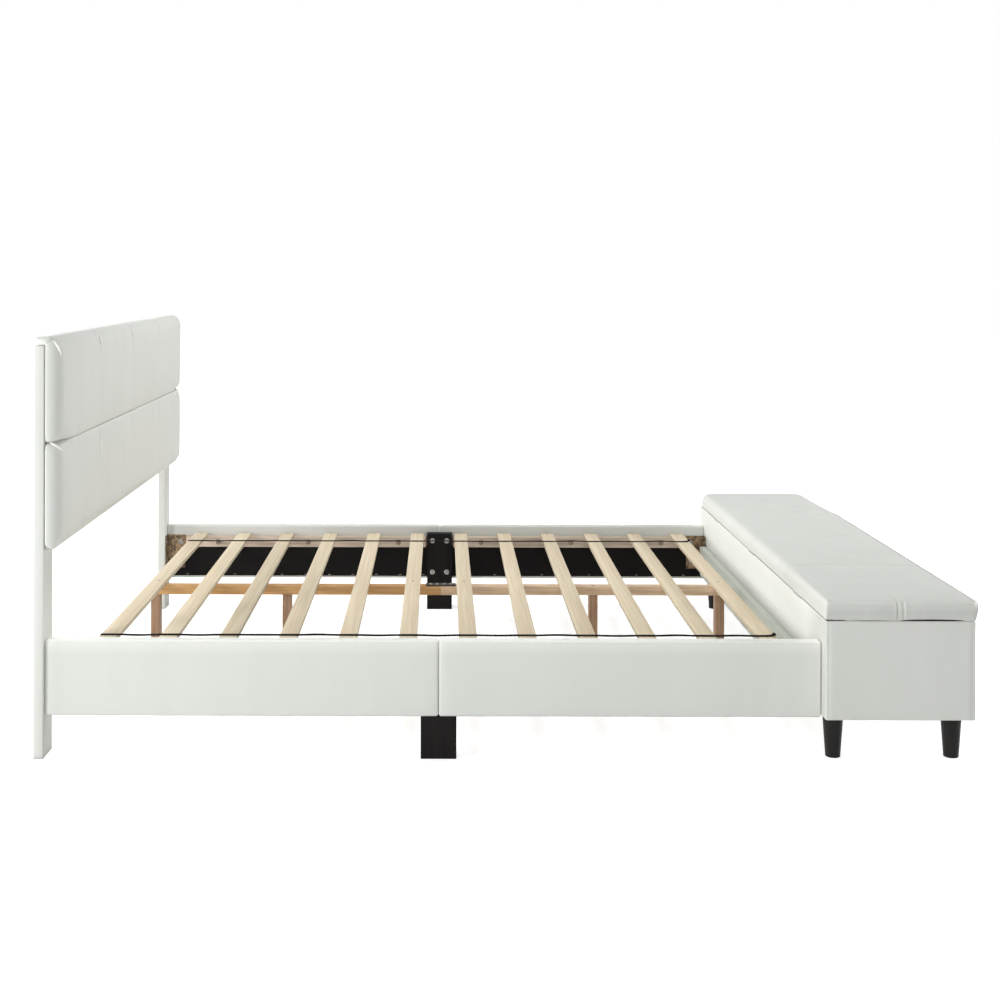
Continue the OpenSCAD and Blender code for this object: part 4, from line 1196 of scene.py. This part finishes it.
def makeCloth(name, body, material, node, low, high, wave=0.0):
    # A stretched cloth; its longest edges can wander a little
    low, high = Vector(low), Vector(high)
    bm = boxShape(low, high)
    cutEvenly(bm, low, high, [clothShape["pitch"]] * 3)
    for vertex in bm.verts:
        if wave and abs(vertex.co.z - low.z) < clothShape["waveReach"]:
            along = Vector((vertex.co.x * clothShape["waveScale"], low.y, 0))
            vertex.co.z += wave * (0.5 + 0.5 * noise.noise(along))
    piece = finishPiece(bm, name, body, material, [node], sharp=50)
    return piece


def addStaples(bm, start, end, out, spacing):
    start, end, out = Vector(start), Vector(end), Vector(out)
    line = end - start
    count = max(2, round(line.length / spacing))
    way = line.normalized()
    thick = stapleShape["wire"]
    half = (way * stapleShape["width"] / 2, way.cross(out) * thick / 2, out * thick / 2)
    reach = Vector([sum(abs(part[k]) for part in half) for k in range(3)])
    for i in range(count):
        middle = start + line * (i + 0.5) / count + out * thick / 2
        addBox(bm, middle - reach, middle + reach)


def makeFelts():
    low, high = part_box("rail_felt")
    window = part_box("left_foot_rail")[0].y
    z, end = low.z + stapleShape["feltUp"], stapleShape["feltEnd"]
    staples = bmesh.new()
    for side, name in ((-1, "rightFelt"), (1, "leftFelt")):
        y = side * (window - clothShape["thickness"])
        a, b = sorted((y, side * window))
        piece = makeCloth(name, "bed", "blackFelt", "rail_felt", (low.x, a, low.z),
                          (high.x, b, high.z), clothShape["wave"])
        cutBoltHoles(piece)
        addStaples(staples, (low.x + end, y, z), (high.x - end, y, z), (0, -side, 0),
                   stapleShape["feltSpacing"])
    finishPiece(staples, "feltStaples", "bed", "paleZinc")


def makeBackCloth():
    low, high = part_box("headboard_back_cloth")
    inset, end, spacing = (stapleShape[key] for key in ("inset", "end", "spacing"))
    x = low.x + clothShape["backIn"]
    # Painted shade: the back cloth gets the darker copy of the white cover
    makeCloth("backCloth", "bed", "shadedWhitePu", "headboard_back_cloth",
              (x, low.y, low.z), high)
    staples = bmesh.new()
    for z in (low.z + inset, high.z - inset):
        addStaples(staples, (x, low.y + end, z), (x, high.y - end, z), (-1, 0, 0), spacing)
    finishPiece(staples, "backStaples", "bed", "paleZinc")


def makeLidLining():
    low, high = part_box("lid_lining")
    inset, end, spacing = (stapleShape[key] for key in ("inset", "end", "spacing"))
    z = high.z - clothShape["thickness"]
    makeCloth("lidLining", "lid", "greyLining", "lid_lining", (low.x, low.y, z), high)
    staples = bmesh.new()
    for x in (low.x + inset, high.x - inset):
        addStaples(staples, (x, low.y + end, z), (x, high.y - end, z), (0, 0, -1), spacing)
    for y in (low.y + inset, high.y - inset):
        addStaples(staples, (low.x + 0.03, y, z), (high.x - 0.03, y, z), (0, 0, -1), spacing)
    finishPiece(staples, "lidStaples", "lid", "paleZinc")


def makeChestLining():
    # One cloth up the four walls and over the floor of the room
    low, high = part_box("chest_lining")
    bm = boxShape(low, high)
    top = [face for face in bm.faces if face.calc_center_median().z > high.z - 1e-6]
    bmesh.ops.delete(bm, geom=top, context="FACES_ONLY")
    cutEvenly(bm, low, high, [clothShape["liningPitch"]] * 3)
    piece = finishPiece(bm, "chestLining", "bed", "greyLining", ["chest_lining"],
                        sharp=50)
    growWall(piece, clothShape["thickness"])


makeStrap("right_strap", "rightStrap", 31)
makeStrap("left_strap", "leftStrap", 32)
makeFelts()
makeBackCloth()
makeLidLining()
makeChestLining()
print("cloths made")

# ---- Screws, darts and pleats ----

slatScrews = {"beamSlats": (0, 5, 6, 11), "beam": (0.0036, 0.0010), "side": (0.0026, 0.0008),
              "inset": 0.016, "top": 0.55}
padCreases = {
    "upper_pad": {"fold": ((0.0205, 0.009), (0.009, 0.026), (0.003, 0.052)),
                  "pleats": ((-0.4075, 0.014, 0.030), (0.002, 0.012, 0.030))},
    "lower_pad": {"fold": ((0.031, 0.0005), (0.0155, 0.0065), (0.0, 0.026)),
                  "pleats": ((-0.4065, 0.022, 0.085),)},
}
# The creases' tone below 0 is a painted highlight: the crests are paler than the pad
creaseShape = {"foldRadius": 0.0030, "pleatRadius": 0.0024, "pleatOut": 0.0002, "tip": 0.12,
               "steps": 12, "tone": -0.25}


def addScrew(bm, spot, radius, height):
    made = bmesh.ops.create_cone(bm, cap_ends=True, segments=20, radius1=radius,
                                 radius2=radius * slatScrews["top"], depth=height)["verts"]
    bmesh.ops.translate(bm, vec=Vector(spot) + Vector((0, 0, height / 2)), verts=made)


def makeScrews():
    low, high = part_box("slats")
    bm = bmesh.new()
    centres = slatCentres()
    beamLow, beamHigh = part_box("beam_head_half")
    for i in slatScrews["beamSlats"]:
        addScrew(bm, (centres[i], (beamLow.y + beamHigh.y) / 2, high.z), *slatScrews["beam"])
    for centre in centres:
        for y in (low.y + slatScrews["inset"], high.y - slatScrews["inset"]):
            addScrew(bm, (centre, y, high.z), *slatScrews["side"])
    finishPiece(bm, "slatScrews", "bed", "darkBolt", sharp=30)


def sweep(bm, points, radii, segments=10):
    # A tapering tube through the points
    rings = []
    for i, (point, radius) in enumerate(zip(points, radii)):
        way = (points[min(i + 1, len(points) - 1)] - points[max(i - 1, 0)]).normalized()
        turn = Matrix.Translation(point) @ way.to_track_quat("Z", "Y").to_matrix().to_4x4()
        made = bmesh.ops.create_circle(bm, cap_ends=i in (0, len(points) - 1),
                                       segments=segments, radius=radius, matrix=turn)["verts"]
        rings.append(list({edge for vertex in made for edge in vertex.link_edges}))
    for a, b in zip(rings, rings[1:]):
        bmesh.ops.bridge_loops(bm, edges=a + b)


def addFold(bm, path, radius):
    # A crease along an arc through three points, thin at both ends
    start, middle, end = [Vector(p) for p in path]
    points, radii = [], []
    control = 2 * middle - (start + end) / 2
    for i in range(creaseShape["steps"] + 1):
        t = i / creaseShape["steps"]
        points.append(start * (1 - t) ** 2 + control * 2 * t * (1 - t) + end * t ** 2)
        radii.append(radius * (creaseShape["tip"] + math.sin(math.pi * t)))
    sweep(bm, points, radii)


def onPad(pad, depth, drop, inset=None):
    # A point of a pad's rounded rim: depth behind its face, drop below its top. Without an
    # inset from the end, it lies on the round of the upper corner.
    low, high = pad
    rim, rise = headPad["rim"]
    power = headPad["squareness"]
    up = 1 - depth / rise
    reach = math.sqrt(max(0.0, 1 - up * up))
    if inset is None:
        level = max(0.0, 1 - drop / rim)
        inset = rim * (1 - max(0.0, reach ** power - level ** power) ** (1 / power))
    half = ((high.y - low.y) / 2, (high.z - low.z) / 2)
    crown = headPad["crown"] * up * crownShare((half[0] - inset, half[1] - drop), half, headPad)
    return Vector((high.x - headPad["crown"] - depth + crown, inset, high.z - drop))


def padFold(bm, pad, steps, side, radius):
    # It stands up from the round by half its radius
    points = [onPad(pad, depth, drop) for depth, drop in steps]
    lift = radius / 2
    addFold(bm, [(p.x + lift, side * (pad[1].y - p.y + lift), p.z + lift) for p in points],
            radius)


def padPleat(bm, pad, seam, top, length, radius):
    # A short upright crease beside a seam, on the upper round of a pad
    points = []
    rim, rise = headPad["rim"]
    for drop in (top, top + length / 2, top + length):
        level = max(0.0, 1 - drop / rim)
        depth = rise * (1 - math.sqrt(max(0.0, 1 - level * level)))
        p = onPad(pad, depth, drop, pad[1].y - abs(seam))
        points.append((p.x + creaseShape["pleatOut"], seam, p.z))
    addFold(bm, points, radius)


def makePadFolds():
    bm = bmesh.new()
    for node, creases in padCreases.items():
        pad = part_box(node)
        for side in (-1, 1):
            padFold(bm, pad, creases["fold"], side, creaseShape["foldRadius"])
        for pleat in creases["pleats"]:
            padPleat(bm, pad, *pleat, creaseShape["pleatRadius"])
    bmesh.ops.recalc_face_normals(bm, faces=bm.faces)
    piece = finishPiece(bm, "padFolds", "bed", "whitePadPu")
    # Painted highlight along the crease crests
    paintLightOnCover(piece, lambda spot, out: creaseShape["tone"])


makeScrews()
makePadFolds()
print("small pieces made")

# ---- Finishes of the CAD pieces that stay ----

cadFinishes = {
    "boardTimber": ["left_post", "right_post", "headboard_mid_rail", "headboard_lower_rail",
                    "upper_pad_board", "lower_pad_board", "left_head_rail", "left_foot_rail",
                    "right_head_rail", "right_foot_rail", "chest_head_panel",
                    "chest_foot_panel", "chest_left_end", "chest_right_end", "chest_floor",
                    "lid_board"],
    "ledgerPine": ["left_head_ledger", "left_foot_ledger", "right_head_ledger",
                   "right_foot_ledger"],
    "beamHeadTimber": ["beam_head_half"],
    "beamFootTimber": ["beam_foot_half"],
    "legTimber": ["beam_leg_1", "beam_leg_2", "beam_leg_3", "beam_leg_4"],
    "blackPaint": ["chest_foot_1", "chest_foot_2", "chest_foot_3", "chest_foot_4"],
    "blackLegPaint": ["left_mid_leg", "right_mid_leg"],
    "yellowZinc": ["corner_brackets"],
    "paleZinc": ["headboard_bolts", "hinge_chest_leaves", "hinge_pins", "hinge_lid_leaves"],
    "boltZinc": ["frame_bolts"],
    "darkBolt": ["ledger_bolts", "beam_bolts"],
    "blackSteel": ["splice_plate"],
}
easedEdges = {"beamHeadTimber": 0.0015, "beamFootTimber": 0.0015, "legTimber": 0.0012,
              "ledgerPine": 0.0012, "blackLegPaint": 0.0008, "blackPaint": 0.0008}
easing = {"weld": 0.00001, "segments": 2, "angle": 40}


def easeEdges(node, width):
    # The sharp edges of a sawn piece catch a little light
    weld = cadNodes[node].modifiers.new("weld", "WELD")
    weld.merge_threshold = easing["weld"]
    bevel = cadNodes[node].modifiers.new("bevel", "BEVEL")
    bevel.width = width
    bevel.segments = easing["segments"]
    bevel.limit_method = "ANGLE"
    bevel.angle_limit = math.radians(easing["angle"])


for finish, members in cadFinishes.items():
    for node in members:
        if finish in easedEdges:
            easeEdges(node, easedEdges[finish])
        cadNodes[node].data.materials.clear()
        cadNodes[node].data.materials.append(materials[finish])

print("scene ready")
